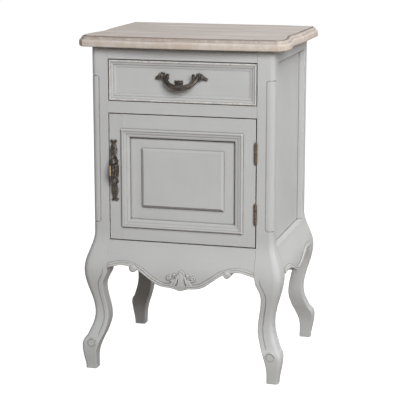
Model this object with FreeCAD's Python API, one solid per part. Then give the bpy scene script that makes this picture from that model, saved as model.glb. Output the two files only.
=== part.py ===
import FreeCAD, Part
import math
import os

# Bedside cabinet on four cabriole legs: one drawer over one panelled door, under a shaped wooden top.
# Millimetres. +Z is up, the front faces -Y, and +X is on the right of someone who faces the front.
# The origin lies on the floor, under the middle of the whole piece.

# Carcass, from the floor up
LEG_HEIGHT = 278.0               # floor to the lower edge of the door opening
DOOR_OPENING_HEIGHT = 265.0
MIDDLE_RAIL_HEIGHT = 24.0
DRAWER_OPENING_HEIGHT = 86.0
TOP_RAIL_HEIGHT = 25.0
TOP_THICKNESS = 22.0
CARCASS_WIDTH = 381.0
CARCASS_DEPTH = 327.0
POST_WIDTH = 35.0                # face of a corner post, seen from the front
POST_DEPTH = 31.0                # face of a corner post, seen from the side
RAIL_THICKNESS = 20.0
MIDDLE_RAIL_DEPTH = 45.0

# Cabriole leg: heights as shares of the leg, reaches outside the post's outer faces,
# setbacks of the two inner faces from those same outer faces
KNEE_SHARE = 0.77
ANKLE_SHARE = 0.428
LIP_SHARE = 0.25                 # lip over the scroll of the foot
SCROLL_SHARE = 0.173
HEEL_SHARE = 0.09
CALF_SHARE = 0.40
HOLLOW_SHARE = 0.64
KNEE_REACH = 19.0
ANKLE_REACH = 1.0
LIP_REACH = 15.5
SCROLL_REACH = 22.5
FOOT_REACH = 16.5
FOOT_SETBACK = 7.0
HEEL_SETBACK = 7.3
CALF_SETBACK = 30.0
HOLLOW_SETBACK = 22.0
KNEE_BLEND = 17.0                # height over the door sill where the knee runs out into the straight post
POST_CORNER = 10.0               # corner radii of the leg's section
KNEE_CORNER = 14.0
ANKLE_CORNER = 9.0
FOOT_CORNER = 5.0
POST_ARRIS = 0.8
LEG_ARRIS = 2.2
LEG_BEAD_WIDTH = 8.0
LEG_QUIRK_DEPTH = 2.0
LEG_QUIRK_HALF_WIDTH = 1.7
LEG_BEAD_FADE = 15.0             # length over which the bead dies out at the knee and at the foot
FOOT_STATIONS = 3
SCROLL_STATIONS = 3
LEG_STATIONS = 12
KNEE_STATIONS = 6
APRON_STATIONS = 8
BUTTON_RADIUS = 7.0
BUTTON_RISE = 2.2
BUTTON_RING_RADIUS = 9.6
BUTTON_RING_WIDTH = 1.5
BUTTON_RING_RISE = 1.2
BUTTON_OFFSET = 1.0              # outwards from the post's outer face
BUTTON_LIFT = 10.0               # over the widest part of the foot

# Stopped quarter-round bead on the outer corner of the front posts
CORNER_BEAD_WIDTH = 16.0
CORNER_QUIRK_DEPTH = 1.5
CORNER_QUIRK_WIDTH = 2.0
CORNER_BEAD_ROUND = 5.0
CORNER_BEAD_START = 36.0         # over the door sill
CORNER_BEAD_END = 60.0           # under the top

# Joints in the frame
TENON_LENGTH = 17.0
TENON_THICKNESS = 8.0
TENON_SETBACK = 6.0
SIDE_TENON_THICKNESS = 7.0
SIDE_TENON_SETBACK = 3.5
TENON_SHOULDER = 4.0
MORTISE_RELIEF = 0.5
APRON_TENON_HEIGHT = 40.0

# Aprons: (share of the half length from the middle, depth of the lower edge under the door sill)
FRONT_APRON_EDGE = ((0.0, 95.5), (0.09, 91.5), (0.257, 88.0), (0.41, 75.0), (0.58, 56.5), (0.77, 48.5), (1.0, 56.0))
SIDE_APRON_EDGE = ((0.0, 79.0), (0.16, 76.5), (0.40, 64.5), (0.62, 56.0), (0.80, 54.0), (1.0, 56.0))
KNEE_ROOT_MARGIN = 1.0
APRON_BEAD_WIDTH = 8.5
APRON_BEAD_RISE = 2.4
SCROLL_DROP_SHARE = 0.643
SCROLL_DROP_DEPTH = 54.0
SCROLL_DROP_RADIUS = 7.5

# Carved shell on the front apron
SHELL_FOOT_DEPTH = 91.0          # under the door sill
SHELL_LOBE_WIDTH = 13.0
SHELL_LOBE_LENGTH = 40.0
SHELL_LEAF_WIDTH = 9.5
SHELL_LEAF_LENGTH = 29.0
SHELL_LEAF_ANGLE = 36.0
SHELL_VOLUTE_RADIUS = 6.0
SHELL_VOLUTE_REACH = 24.0
SHELL_VOLUTE_HEIGHT = 24.0
SHELL_LOBE_RISE = 5.0
SHELL_LEAF_RISE = 4.2
SHELL_VOLUTE_RISE = 3.6

# Top
TOP_FRONT_OVERHANG = 31.0
TOP_BOW = 9.0
TOP_BOW_OVERHANG = 11.0          # the bow runs this far past the side of the carcass
TOP_EAR_OVERHANG = 28.0
TOP_SIDE_OVERHANG = 22.5
TOP_WAIST = 4.5                  # hollow in each side, behind the ear
TOP_EAR_LENGTH = 36.0
TOP_EAR_MIDDLE = (0.6, 0.36)     # middle of the ear, as shares of its width and length
TOP_BOW_DRAW = 0.55              # shares of the edge's inset that draw in the bow's end and the ear's middle
TOP_EAR_DRAW = (0.8, 0.5)
TOP_WAIST_PLACE = 98.0           # behind the front of the carcass
TOP_WAIST_END = 172.0
TOP_EDGE_WIDTH = 13.0
TOP_EDGE_SHAPE = (               # up the edge, as shares of the width inwards and of the thickness
    (0.15, 0.0), (0.05, 0.04), (0.0, 0.12),
    (0.0, 0.42), (0.04, 0.53), (0.12, 0.605), (0.23, 0.64),
    (0.35, 0.65), (0.37, 0.70), (0.41, 0.78), (0.50, 0.86), (0.64, 0.915), (0.80, 0.935),
    (0.83, 0.865), (0.88, 0.865), (0.90, 1.0),
)

# Side, back and floor panels
SIDE_PANEL_THICKNESS = 9.0
SIDE_PANEL_RECESS = 12.0
PANEL_TONGUE = 6.0
BACK_PANEL_THICKNESS = 5.0
BACK_PANEL_LAP = 8.0
BACK_BOTTOM_RAIL_HEIGHT = 60.0
FLOOR_THICKNESS = 9.0
BEARER_SIZE = 15.0
PIN_RADIUS = 0.9
PIN_LENGTH = 14.0
BACK_PINS_PER_SIDE = 4

# Drawer
DRAWER_GAP_SIDE = 1.5
DRAWER_GAP_TOP = 2.0
DRAWER_GAP_BOTTOM = 1.0
DRAWER_FRONT_THICKNESS = 20.0
DRAWER_BORDER_WIDTH = 15.5
DRAWER_FIELD_RECESS = 6.0
DRAWER_BORDER_SHAPE = (          # outer edge inwards, as shares of the width and of the recess
    ("line", ((0.0, 0.0), (0.0, 0.80))),
    ("arc", ((0.0, 0.80), (0.14, 1.0), (0.28, 0.84))),
    ("line", ((0.28, 0.84), (0.28, 0.73))),
    ("arc", ((0.28, 0.73), (0.47, 0.63), (0.62, 0.42))),
    ("line", ((0.62, 0.42), (0.62, 0.31))),
    ("arc", ((0.62, 0.31), (0.84, 0.22), (1.0, 0.0))),
    ("line", ((1.0, 0.0), (0.0, 0.0))),
)
DRAWER_SIDE_THICKNESS = 11.0
DRAWER_SIDE_DROP = 17.5          # the opening's height over that of the drawer sides
DRAWER_REAR_SPACE = 22.0         # between the drawer and the back panel
DRAWER_BOTTOM_THICKNESS = 5.0
DRAWER_BOTTOM_RISE = 9.0
DRAWER_GROOVE = 5.0
DRAWER_BACK_DROP = 8.0
DRAWER_BACK_INSET = 4.0
DOVETAIL_COUNT = 3
DOVETAIL_LAP = 11.0
DOVETAIL_FLARE = 2.0
RUNNING_CLEARANCE = 0.3
RUNNER_WIDTH = 18.0
RUNNER_HEIGHT = 20.0
GUIDE_RISE = 15.0
STOP_WIDTH = 30.0
STOP_LENGTH = 14.0
STOP_HEIGHT = 6.0
STOP_INSET = 75.5                # middle of each stop from the edge of the drawer opening

# Door
DOOR_GAP = 2.0
DOOR_THICKNESS = 20.0
DOOR_STILE_FACE = 25.5           # door edge to the outer edge of the moulding
DOOR_TOP_RAIL_FACE = 29.5
DOOR_BOTTOM_RAIL_FACE = 26.5
DOOR_PANEL_RECESS = 8.0
DOOR_PANEL_THICKNESS = 6.0
DOOR_PANEL_TONGUE = 7.0
DOOR_TENON_LENGTH = 16.0
MOULDING_WIDTH = 17.0
MOULDING_LAP = 6.0
MOULDING_RISE = 4.5
DOOR_MOULDING_SHAPE = (          # outer edge inwards, as shares of the width and of the rise over the frame
    ("line", ((0.0, 0.0), (0.0, 0.50))),
    ("arc", ((0.0, 0.50), (0.14, 1.0), (0.29, 0.78))),
    ("line", ((0.29, 0.78), (0.29, 0.64))),
    ("arc", ((0.29, 0.64), (0.47, 0.55), (0.62, 0.30))),
    ("line", ((0.62, 0.30), (0.62, 0.16))),
    ("arc", ((0.62, 0.16), (0.82, 0.07), (1.0, -0.25))),
)
FIELD_SIDE_MARGIN = 24.5
FIELD_TOP_MARGIN = 22.5
FIELD_BOTTOM_MARGIN = 26.0
FIELD_RISE = 5.0
FIELD_BEVEL = 4.5
FIELD_STEP = 2.0

# Butt hinges
HINGE_LENGTH = 41.0
HINGE_INSET = 48.0
HINGE_BARREL_RADIUS = 3.0
HINGE_FACE_CLEARANCE = 0.3
HINGE_LEAF_THICKNESS = 1.2
HINGE_LEAF_RECESS = 0.7
HINGE_LEAF_WIDTH = 15.0
HINGE_KNUCKLES = 5
HINGE_KNUCKLE_GAP = 0.2
HINGE_PIN_RADIUS = 1.5
HINGE_RUNNING_FIT = 0.05
HINGE_FIXED_FIT = 0.02
HINGE_PIN_HEAD_RADIUS = 2.4
HINGE_PIN_HEAD_HEIGHT = 1.4
HINGE_SCREW_PLACE = 8.5
HINGE_SCREW_SPACING = 24.0

# Screws
SCREW_HEAD_RADIUS = 2.8
SCREW_SHANK_RADIUS = 1.4
SCREW_LENGTH = 13.0
TOP_SCREW_RADIUS = 2.0
TOP_SCREW_HEAD_RADIUS = 4.0
TOP_SCREW_HEAD_HEIGHT = 2.5
TOP_SCREW_BITE = 12.0
TOP_SCREW_SPACING = 150.0
PULL_SCREW_RADIUS = 2.0
PULL_SCREW_HEAD_RADIUS = 4.2
PULL_SCREW_HEAD_HEIGHT = 2.4
PULL_SCREW_BITE = 8.0

# Magnetic catch behind the top of the door
CATCH_INSET = 45.5               # middle of the catch from the left edge of the door opening
CATCH_WIDTH = 36.0
CATCH_DEPTH = 13.0
CATCH_HEIGHT = 12.0
CATCH_SCREW_SPACING = 25.0
CATCH_GAP = 0.3
CATCH_SCREW_LENGTH = 22.0
STRIKE_WIDTH = 30.0
STRIKE_HEIGHT = 12.0
STRIKE_THICKNESS = 1.2

# Drawer pull: one casting with two feet and a bow that hangs between them
PULL_SPACING = 66.0
PULL_HEIGHT = 7.25               # of the feet over the middle of the drawer opening
PULL_FOOT_RADIUS = 5.0
PULL_FOOT_LENGTH = 11.0
PULL_BOW_RADIUS = 4.2
PULL_BOW_REACH = 24.0
PULL_BOW_DROP = 20.0
PULL_CURL_RADIUS = 4.6
PULL_CURL_INSET = 7.0
PULL_CURL_RISE = 8.0
PULL_CURL_NECK = 3.7
PULL_LEAF_LENGTH = 21.0
PULL_LEAF_ROOT = 4.5
PULL_LEAF_RISE = 2.0
PULL_LEAF_TIP = 1.8
PULL_CROWN_WIDTH = 17.0
PULL_CROWN_DEPTH = 8.0
PULL_CROWN_HEIGHT = 9.0

# Door pull: one upright casting with two leaf feet, open arms and a barrel grip
GRIP_RISE = 14.5                 # of its middle over the middle of the door
GRIP_SPACING = 84.0
GRIP_FOOT_RADIUS = 4.4
GRIP_LEAF_WIDTH = 13.0
GRIP_LEAF_LENGTH = 38.0
GRIP_LEAF_RISE = 3.0
GRIP_REACH = 17.0
GRIP_BARREL_RADIUS = 9.0
GRIP_BARREL_NECK = 7.0
GRIP_BARREL_HEIGHT = 26.0
GRIP_ARM_RADIUS = 2.3
GRIP_ARM_SPREAD = 7.0
GRIP_FINIAL_LENGTH = 23.0
GRIP_TIP_WIDTH = 14.0
GRIP_TIP_RADIUS = 1.7

# Places worked out from the sizes above
V = FreeCAD.Vector
HALF_WIDTH = CARCASS_WIDTH / 2
OPENING_HALF = HALF_WIDTH - POST_WIDTH
FRONT_Y = (TOP_FRONT_OVERHANG - SCROLL_REACH - CARCASS_DEPTH) / 2
BACK_Y = FRONT_Y + CARCASS_DEPTH
MIDDLE_Y = (FRONT_Y + BACK_Y) / 2
SILL_Z = LEG_HEIGHT
DOOR_HEAD_Z = SILL_Z + DOOR_OPENING_HEIGHT
DRAWER_SILL_Z = DOOR_HEAD_Z + MIDDLE_RAIL_HEIGHT
DRAWER_HEAD_Z = DRAWER_SILL_Z + DRAWER_OPENING_HEIGHT
CARCASS_TOP_Z = DRAWER_HEAD_Z + TOP_RAIL_HEIGHT
SIDE_INNER_X = HALF_WIDTH - SIDE_PANEL_RECESS - SIDE_PANEL_THICKNESS
SIDE_HALF_LENGTH = CARCASS_DEPTH / 2 - POST_DEPTH
SIDE_FRONT_Y = FRONT_Y + POST_DEPTH
SIDE_BACK_Y = BACK_Y - POST_DEPTH
CURVE_TOP_Z = SILL_Z + KNEE_BLEND
KNEE_ROOT_Z = SILL_Z - FRONT_APRON_EDGE[-1][1] - KNEE_ROOT_MARGIN
SCROLL_Z = SCROLL_SHARE * LEG_HEIGHT
BUTTON_Z = SCROLL_Z + BUTTON_LIFT
LIP_Z = LIP_SHARE * LEG_HEIGHT
ANKLE_Z = ANKLE_SHARE * LEG_HEIGHT
DOOR_EDGE_X = OPENING_HALF - DOOR_GAP
DOOR_BOTTOM_Z = SILL_Z + DOOR_GAP
DOOR_TOP_Z = DOOR_HEAD_Z - DOOR_GAP
DRAWER_EDGE_X = OPENING_HALF - DRAWER_GAP_SIDE
DRAWER_BASE_Z = DRAWER_SILL_Z + RUNNING_CLEARANCE
DRAWER_SIDE_HEIGHT = DRAWER_OPENING_HEIGHT - DRAWER_SIDE_DROP
DRAWER_BACK_FACE_Y = FRONT_Y + DRAWER_FRONT_THICKNESS
DRAWER_END_Y = BACK_Y - BACK_PANEL_THICKNESS - DRAWER_REAR_SPACE
HINGE_X = OPENING_HALF - DOOR_GAP / 2
HINGE_Y = FRONT_Y - HINGE_BARREL_RADIUS - HINGE_FACE_CLEARANCE
PULL_Z = (DRAWER_SILL_Z + DRAWER_HEAD_Z) / 2 + PULL_HEIGHT
PULL_Y = FRONT_Y + DRAWER_FIELD_RECESS
CATCH_X = CATCH_INSET - OPENING_HALF
GRIP_X = -DOOR_EDGE_X + DOOR_STILE_FACE / 2
GRIP_Z = (DOOR_BOTTOM_Z + DOOR_TOP_Z) / 2 + GRIP_RISE

FOOT_CURVE = (
    (0.0, FOOT_REACH),
    (SCROLL_Z, SCROLL_REACH),
)
KNEE_CURVE = (
    (ANKLE_Z, ANKLE_REACH),
    (KNEE_SHARE * LEG_HEIGHT, KNEE_REACH),
    (CURVE_TOP_Z, 0.0),
)
CORNER_CURVE = (
    (0.0, FOOT_CORNER),
    (ANKLE_Z, ANKLE_CORNER),
    (KNEE_SHARE * LEG_HEIGHT, KNEE_CORNER),
    (CURVE_TOP_Z, POST_CORNER),
)
ARRIS_CURVE = (
    (0.0, LEG_ARRIS),
    (KNEE_ROOT_Z - LEG_BEAD_FADE, LEG_ARRIS),
    (KNEE_ROOT_Z, POST_ARRIS),
)
BEAD_FADE_CURVE = (
    (0.0, 0.0),
    (BUTTON_Z + BUTTON_RING_RADIUS, 0.0),
    (BUTTON_Z + BUTTON_RING_RADIUS + LEG_BEAD_FADE, 1.0),
    (KNEE_ROOT_Z - LEG_BEAD_FADE, 1.0),
    (KNEE_ROOT_Z, 0.0),
)


# Small geometry helpers
def box(x0, x1, y0, y1, z0, z1):
    return Part.makeBox(x1 - x0, y1 - y0, z1 - z0, V(x0, y0, z0))


def rod(radius, start, end):
    return Part.makeCylinder(radius, (end - start).Length, start, end - start)


def mirror_x(shape):
    return shape.mirror(V(0, 0, 0), V(1, 0, 0))


def mirror_y(shape):
    return shape.mirror(V(0, MIDDLE_Y, 0), V(0, 1, 0))


def joined(shapes):
    whole = shapes[0]
    for shape in shapes[1:]:
        whole = whole.fuse(shape)
    return whole.removeSplitter()


def without(shape, cutters):
    for cutter in cutters:
        shape = shape.cut(cutter)
    return shape


def line(start, end):
    return Part.LineSegment(start, end).toShape()


def spline(points, start_tangent=None, end_tangent=None):
    curve = Part.BSplineCurve()
    if start_tangent is None:
        curve.interpolate(points)
    else:
        curve.interpolate(Points=points, InitialTangent=start_tangent, FinalTangent=end_tangent)
    return curve.toShape()


def closed_polygon(points):
    return Part.makePolygon(points + points[:1])


def prism(edges, direction):
    return Part.Face(Part.Wire(edges)).extrude(direction)


def eased(stops, height):
    # Swings from stop to stop on half cosine waves, as a spokeshaved curve does
    for (low, first), (high, second) in zip(stops, stops[1:]):
        if height <= high:
            turn = math.pi * (height - low) / (high - low)
            return first + (second - first) * (1 - math.cos(turn)) / 2
    return stops[-1][1]


def offset_points(points, distance):
    # Moves each point of an open outline to its left by the distance
    moved = []
    for index, (u, v) in enumerate(points):
        before = points[max(index - 1, 0)]
        after = points[min(index + 1, len(points) - 1)]
        run_u = after[0] - before[0]
        run_v = after[1] - before[1]
        length = math.hypot(run_u, run_v)
        moved.append((u - distance * run_v / length, v + distance * run_u / length))
    return moved


def outer_reach(height):
    # How far the leg's outer faces stand out: foot, rounded scroll up to its lip, hollow ankle, knee
    if height <= SCROLL_Z:
        return eased(FOOT_CURVE, height)
    if height <= LIP_Z:
        share = (height - SCROLL_Z) / (LIP_Z - SCROLL_Z)
        return SCROLL_REACH + (LIP_REACH - SCROLL_REACH) * share ** 3
    if height <= ANKLE_Z:
        turn = math.pi / 2 * (height - LIP_Z) / (ANKLE_Z - LIP_Z)
        return LIP_REACH + (ANKLE_REACH - LIP_REACH) * math.sin(turn)
    return eased(KNEE_CURVE, height)


# Legs
def inner_curve(post_size):
    return (
        (0.0, FOOT_SETBACK),
        (HEEL_SHARE * LEG_HEIGHT, HEEL_SETBACK),
        (CALF_SHARE * LEG_HEIGHT, CALF_SETBACK),
        (HOLLOW_SHARE * LEG_HEIGHT, HOLLOW_SETBACK),
        (KNEE_ROOT_Z, post_size),
    )


def leg_point(outward_x, outward_y, height):
    return V(HALF_WIDTH + outward_x, FRONT_Y - outward_y, height)


def quirked_run(start, end, bead_end, inward, depth, height):
    # A face of the leg with a V line beside the bead; bead_end is the end that the bead lies along
    length = math.hypot(end[0] - start[0], end[1] - start[1])
    along = ((end[0] - start[0]) / length, (end[1] - start[1]) / length)
    middle = LEG_BEAD_WIDTH if bead_end == "start" else length - LEG_BEAD_WIDTH
    stops = [(0, 0), (middle - LEG_QUIRK_HALF_WIDTH, 0), (middle, depth), (middle + LEG_QUIRK_HALF_WIDTH, 0)]
    stops.append((length, 0))
    corners = []
    for run, sunk in stops:
        across_x = start[0] + along[0] * run + inward[0] * sunk
        across_y = start[1] + along[1] * run + inward[1] * sunk
        corners.append(leg_point(across_x, across_y, height))
    return [line(first, second) for first, second in zip(corners, corners[1:])]


def leg_corner(corner, arriving, leaving, radius, height):
    # Quarter arc that rounds one corner of the section, from its arriving face to its leaving face
    centre = (corner[0] + radius * (leaving[0] - arriving[0]), corner[1] + radius * (leaving[1] - arriving[1]))
    bulge = radius / math.sqrt(2)
    start = leg_point(corner[0] - radius * arriving[0], corner[1] - radius * arriving[1], height)
    middle = leg_point(centre[0] + bulge * (arriving[0] - leaving[0]),
                       centre[1] + bulge * (arriving[1] - leaving[1]), height)
    end = leg_point(corner[0] + radius * leaving[0], corner[1] + radius * leaving[1], height)
    return Part.Arc(start, middle, end).toShape()


def leg_section(height, front_quirk):
    # Section of the front right leg: outer corner, front face, two inner faces, side face
    reach = outer_reach(height)
    back_x = -eased(inner_curve(POST_WIDTH), height)
    back_y = -eased(inner_curve(POST_DEPTH), height)
    round_corner = eased(CORNER_CURVE, height)
    arris = eased(ARRIS_CURVE, height)
    quirk = LEG_QUIRK_DEPTH * eased(BEAD_FADE_CURVE, height)
    edges = [leg_corner((reach, reach), (0, 1), (-1, 0), round_corner, height)]
    edges += quirked_run((reach - round_corner, reach), (back_x + arris, reach), "end", (0, -1),
                         quirk * front_quirk, height)
    edges.append(leg_corner((back_x, reach), (-1, 0), (0, -1), arris, height))
    edges.append(line(leg_point(back_x, reach - arris, height), leg_point(back_x, back_y + arris, height)))
    edges.append(leg_corner((back_x, back_y), (0, -1), (1, 0), arris, height))
    edges.append(line(leg_point(back_x + arris, back_y, height), leg_point(reach - arris, back_y, height)))
    edges.append(leg_corner((reach, back_y), (1, 0), (0, 1), arris, height))
    edges += quirked_run((reach, back_y + arris), (reach, reach - round_corner), "start", (-1, 0), quirk, height)
    return Part.Wire(edges)


def between(low, high, count):
    return [low + (high - low) * i / count for i in range(count + 1)]


def leg_stretch(heights, front_quirk):
    return Part.makeLoft([leg_section(height, front_quirk) for height in heights], True)


def leg_blank(front_quirk):
    # Foot up to the lip of its scroll, curved leg, knee and straight post, before any joint is cut
    foot = between(0.0, SCROLL_Z, FOOT_STATIONS)[:-1] + between(SCROLL_Z, LIP_Z, SCROLL_STATIONS)
    leg = between(LIP_Z, KNEE_ROOT_Z, LEG_STATIONS)
    knee = between(KNEE_ROOT_Z, CURVE_TOP_Z, KNEE_STATIONS)
    post = Part.Face(leg_section(CURVE_TOP_Z, front_quirk)).extrude(V(0, 0, CARCASS_TOP_Z - CURVE_TOP_Z))
    return joined([leg_stretch(heights, front_quirk) for heights in (foot, leg, knee)] + [post])


def foot_button():
    # Round button in a ring, carved on the front of the foot's scroll
    centre = leg_point(BUTTON_OFFSET, 0, BUTTON_Z)
    face = leg_point(BUTTON_OFFSET, outer_reach(BUTTON_Z), BUTTON_Z)
    out = V(0, -1, 0)
    button = rod(BUTTON_RADIUS, centre, face + out * BUTTON_RISE)
    ring = rod(BUTTON_RING_RADIUS, centre, face + out * BUTTON_RING_RISE)
    groove = rod(BUTTON_RING_RADIUS - BUTTON_RING_WIDTH, centre, face + out * BUTTON_RISE)
    return [ring.cut(groove), button]


def bead_block(grow):
    # Outline of the corner bead on the post's front face, grown all round, as a block that reaches past the corner
    inner = HALF_WIDTH - CORNER_BEAD_WIDTH - grow
    low = SILL_Z + CORNER_BEAD_START - grow
    high = CARCASS_TOP_Z - CORNER_BEAD_END + grow
    block = box(inner, HALF_WIDTH + POST_CORNER, FRONT_Y - POST_CORNER, FRONT_Y + POST_CORNER, low, high)
    ends = [edge for edge in block.Edges if edge.BoundBox.XMax < HALF_WIDTH and edge.BoundBox.ZLength < POST_CORNER]
    return block.makeFillet(CORNER_BEAD_ROUND + grow, ends)


def corner_bead_cutter():
    # Quirk round the bead on the post's outer corner: along both faces, and round the corner at each end
    half = CORNER_QUIRK_WIDTH / 2
    front = bead_block(half).cut(bead_block(-half))
    side = front.mirror(V(HALF_WIDTH, FRONT_Y, 0), V(1, 1, 0))
    reach = 2 * CORNER_BEAD_WIDTH
    face = CORNER_QUIRK_DEPTH
    core = box(HALF_WIDTH - reach, HALF_WIDTH - face, FRONT_Y + face, FRONT_Y + reach, SILL_Z, CARCASS_TOP_Z)
    arris = [edge for edge in core.Edges
             if edge.BoundBox.XMin > HALF_WIDTH - reach and edge.BoundBox.YMax < FRONT_Y + reach]
    return joined([front, side]).cut(core.makeFillet(POST_CORNER - face, arris))


# Tenons on the right, with the relief that their mortises have at the end
def front_tenon(low, high, relief=0.0):
    near = FRONT_Y + TENON_SETBACK
    return box(OPENING_HALF, OPENING_HALF + TENON_LENGTH + relief, near, near + TENON_THICKNESS, low, high)


def back_tenon(low, high, relief=0.0):
    far = BACK_Y - TENON_SETBACK
    return box(OPENING_HALF, OPENING_HALF + TENON_LENGTH + relief, far - TENON_THICKNESS, far, low, high)


def side_tenon(low, high, relief=0.0):
    # At the front end of a side rail; the back end's tenon is its mirror
    outer = HALF_WIDTH - SIDE_TENON_SETBACK
    return box(outer - SIDE_TENON_THICKNESS, outer, SIDE_FRONT_Y - TENON_LENGTH - relief, SIDE_FRONT_Y, low, high)


TOP_TENON = (DRAWER_HEAD_Z + TENON_SHOULDER, CARCASS_TOP_Z - TENON_SHOULDER)
MIDDLE_TENON = (DOOR_HEAD_Z + TENON_SHOULDER, DRAWER_SILL_Z - TENON_SHOULDER)
APRON_TENON = (SILL_Z - TENON_SHOULDER - APRON_TENON_HEIGHT, SILL_Z - TENON_SHOULDER)


def side_mortises():
    return [side_tenon(*TOP_TENON, MORTISE_RELIEF), side_tenon(*APRON_TENON, MORTISE_RELIEF)]


def front_right_leg(cutters):
    leg = joined([leg_blank(1)] + foot_button())
    mortises = [front_tenon(*span, MORTISE_RELIEF) for span in (TOP_TENON, MIDDLE_TENON, APRON_TENON)]
    return without(leg, [corner_bead_cutter()] + mortises + side_mortises() + cutters)


def rear_right_leg(cutters):
    leg = mirror_y(leg_blank(0))
    mortises = [back_tenon(*span, MORTISE_RELIEF) for span in (TOP_TENON, APRON_TENON)]
    mortises += [mirror_y(mortise) for mortise in side_mortises()]
    return without(leg, mortises + cutters)


# Rails and aprons
def cross_rail(low, high, front, back, tenon):
    body = box(-OPENING_HALF, OPENING_HALF, front, back, low, high)
    return joined([body, tenon, mirror_x(tenon)])


def side_rail_ends(body, span):
    tenon = side_tenon(*span)
    return joined([body, tenon, mirror_y(tenon)])


def side_top_rail():
    body = box(SIDE_INNER_X, HALF_WIDTH, SIDE_FRONT_Y, SIDE_BACK_Y, DRAWER_HEAD_Z, CARCASS_TOP_Z)
    return side_rail_ends(body, TOP_TENON)


def knee_profile(bottom, rise, place):
    # The knee's outward curve over the apron's height, as one edge; place turns (reach, height) into a point
    heights = between(bottom, SILL_Z, APRON_STATIONS)
    return spline([place(outer_reach(height) + rise, height) for height in heights])


def bowed_board(bottom, place, inner_reach, length):
    # Apron board with a flat inner face at inner_reach and the knee's curve on its outer face
    low = outer_reach(bottom)
    high = outer_reach(SILL_Z)
    edges = [
        line(place(inner_reach, bottom), place(low, bottom)),
        knee_profile(bottom, 0.0, place),
        line(place(high, SILL_Z), place(inner_reach, SILL_Z)),
        line(place(inner_reach, SILL_Z), place(inner_reach, bottom)),
    ]
    return prism(edges, length)


def bowed_skin(bottom, place, rise, length):
    # Layer of even outward depth that lies on the curved face of an apron
    low = outer_reach(bottom)
    high = outer_reach(SILL_Z)
    edges = [
        line(place(low, bottom), place(low + rise, bottom)),
        knee_profile(bottom, rise, place),
        line(place(high + rise, SILL_Z), place(high, SILL_Z)),
        knee_profile(bottom, 0.0, place),
    ]
    return prism(edges, length)


def edge_points(shape_points, half_length):
    # Whole lower edge, left to right, as (run from the middle, height)
    right = [(share * half_length, SILL_Z - depth) for share, depth in shape_points]
    left = [(-run, height) for run, height in reversed(right[1:])]
    return left + right


def edge_region(points, above, place, through):
    # Everything between the lower edge and the level above, cut right through
    curve = [place(run, height) for run, height in points]
    ends = [place(points[-1][0], above), place(points[0][0], above)]
    edges = [spline(curve), line(curve[-1], ends[0]), line(ends[0], ends[1]), line(ends[1], curve[0])]
    return prism(edges, through)


def edge_strip(points, width, place, through):
    # The band of the given width along the lower edge
    lower = [place(run, height) for run, height in points]
    raised = [(run, height) for run, height in offset_points(points, width)]
    raised[0] = (points[0][0], raised[0][1])
    raised[-1] = (points[-1][0], raised[-1][1])
    upper = [place(run, height) for run, height in raised]
    edges = [spline(lower), line(lower[-1], upper[-1]), spline(upper[::-1]), line(upper[0], lower[0])]
    return prism(edges, through)


def front_profile(reach, height):
    return V(-OPENING_HALF, FRONT_Y - reach, height)


def front_outline(run, height):
    return V(run, FRONT_Y - 2 * KNEE_REACH, height)


FRONT_THROUGH = V(0, 2 * KNEE_REACH + RAIL_THICKNESS, 0)
FRONT_LENGTH = V(2 * OPENING_HALF, 0, 0)
FRONT_APRON_BOTTOM = SILL_Z - FRONT_APRON_EDGE[0][1]


def scroll_drops():
    # Round drops that hang under the front apron's arches, where the two curves of its edge meet
    height = SILL_Z - SCROLL_DROP_DEPTH
    centres = [front_outline(side * SCROLL_DROP_SHARE * OPENING_HALF, height) for side in (-1, 1)]
    return [rod(SCROLL_DROP_RADIUS, centre, centre + FRONT_THROUGH) for centre in centres]


def front_apron():
    points = edge_points(FRONT_APRON_EDGE, OPENING_HALF)
    board = bowed_board(FRONT_APRON_BOTTOM, front_profile, -RAIL_THICKNESS, FRONT_LENGTH)
    skin = bowed_skin(FRONT_APRON_BOTTOM, front_profile, APRON_BEAD_RISE, FRONT_LENGTH)
    drops = scroll_drops()
    outline = joined([edge_region(points, SILL_Z, front_outline, FRONT_THROUGH)] + drops)
    bead = joined([edge_strip(points, APRON_BEAD_WIDTH, front_outline, FRONT_THROUGH)] + drops)
    tenon = front_tenon(*APRON_TENON)
    return joined([board.common(outline), skin.common(bead), tenon, mirror_x(tenon)])


def side_profile(reach, height):
    return V(HALF_WIDTH + reach, SIDE_FRONT_Y, height)


def side_outline(run, height):
    return V(HALF_WIDTH + 2 * KNEE_REACH, MIDDLE_Y + run, height)


def side_apron():
    points = edge_points(SIDE_APRON_EDGE, SIDE_HALF_LENGTH)
    bottom = SILL_Z - SIDE_APRON_EDGE[0][1]
    length = V(0, 2 * SIDE_HALF_LENGTH, 0)
    through = V(SIDE_INNER_X - HALF_WIDTH - 2 * KNEE_REACH, 0, 0)
    board = bowed_board(bottom, side_profile, SIDE_INNER_X - HALF_WIDTH, length)
    skin = bowed_skin(bottom, side_profile, APRON_BEAD_RISE, length)
    outline = edge_region(points, SILL_Z, side_outline, through)
    bead = edge_strip(points, APRON_BEAD_WIDTH, side_outline, through)
    return side_rail_ends(joined([board.common(outline), skin.common(bead)]), APRON_TENON)


# Carved shell: a middle lobe, two slanted leaves and two volutes, each a layer on the apron's curved face
def stadium(width, length, angle, foot):
    # Upright tongue with round ends, turned about its foot, as a prism through the apron
    half = width / 2
    middle = box(foot.x - half, foot.x + half, foot.y, foot.y + FRONT_THROUGH.y, foot.z, foot.z + length - half)
    ends = [rod(half, foot + V(0, 0, rise), foot + V(0, 0, rise) + FRONT_THROUGH) for rise in (0, length - half)]
    tongue = joined([middle] + ends)
    tongue.rotate(foot, V(0, 1, 0), angle)
    return tongue


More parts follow.
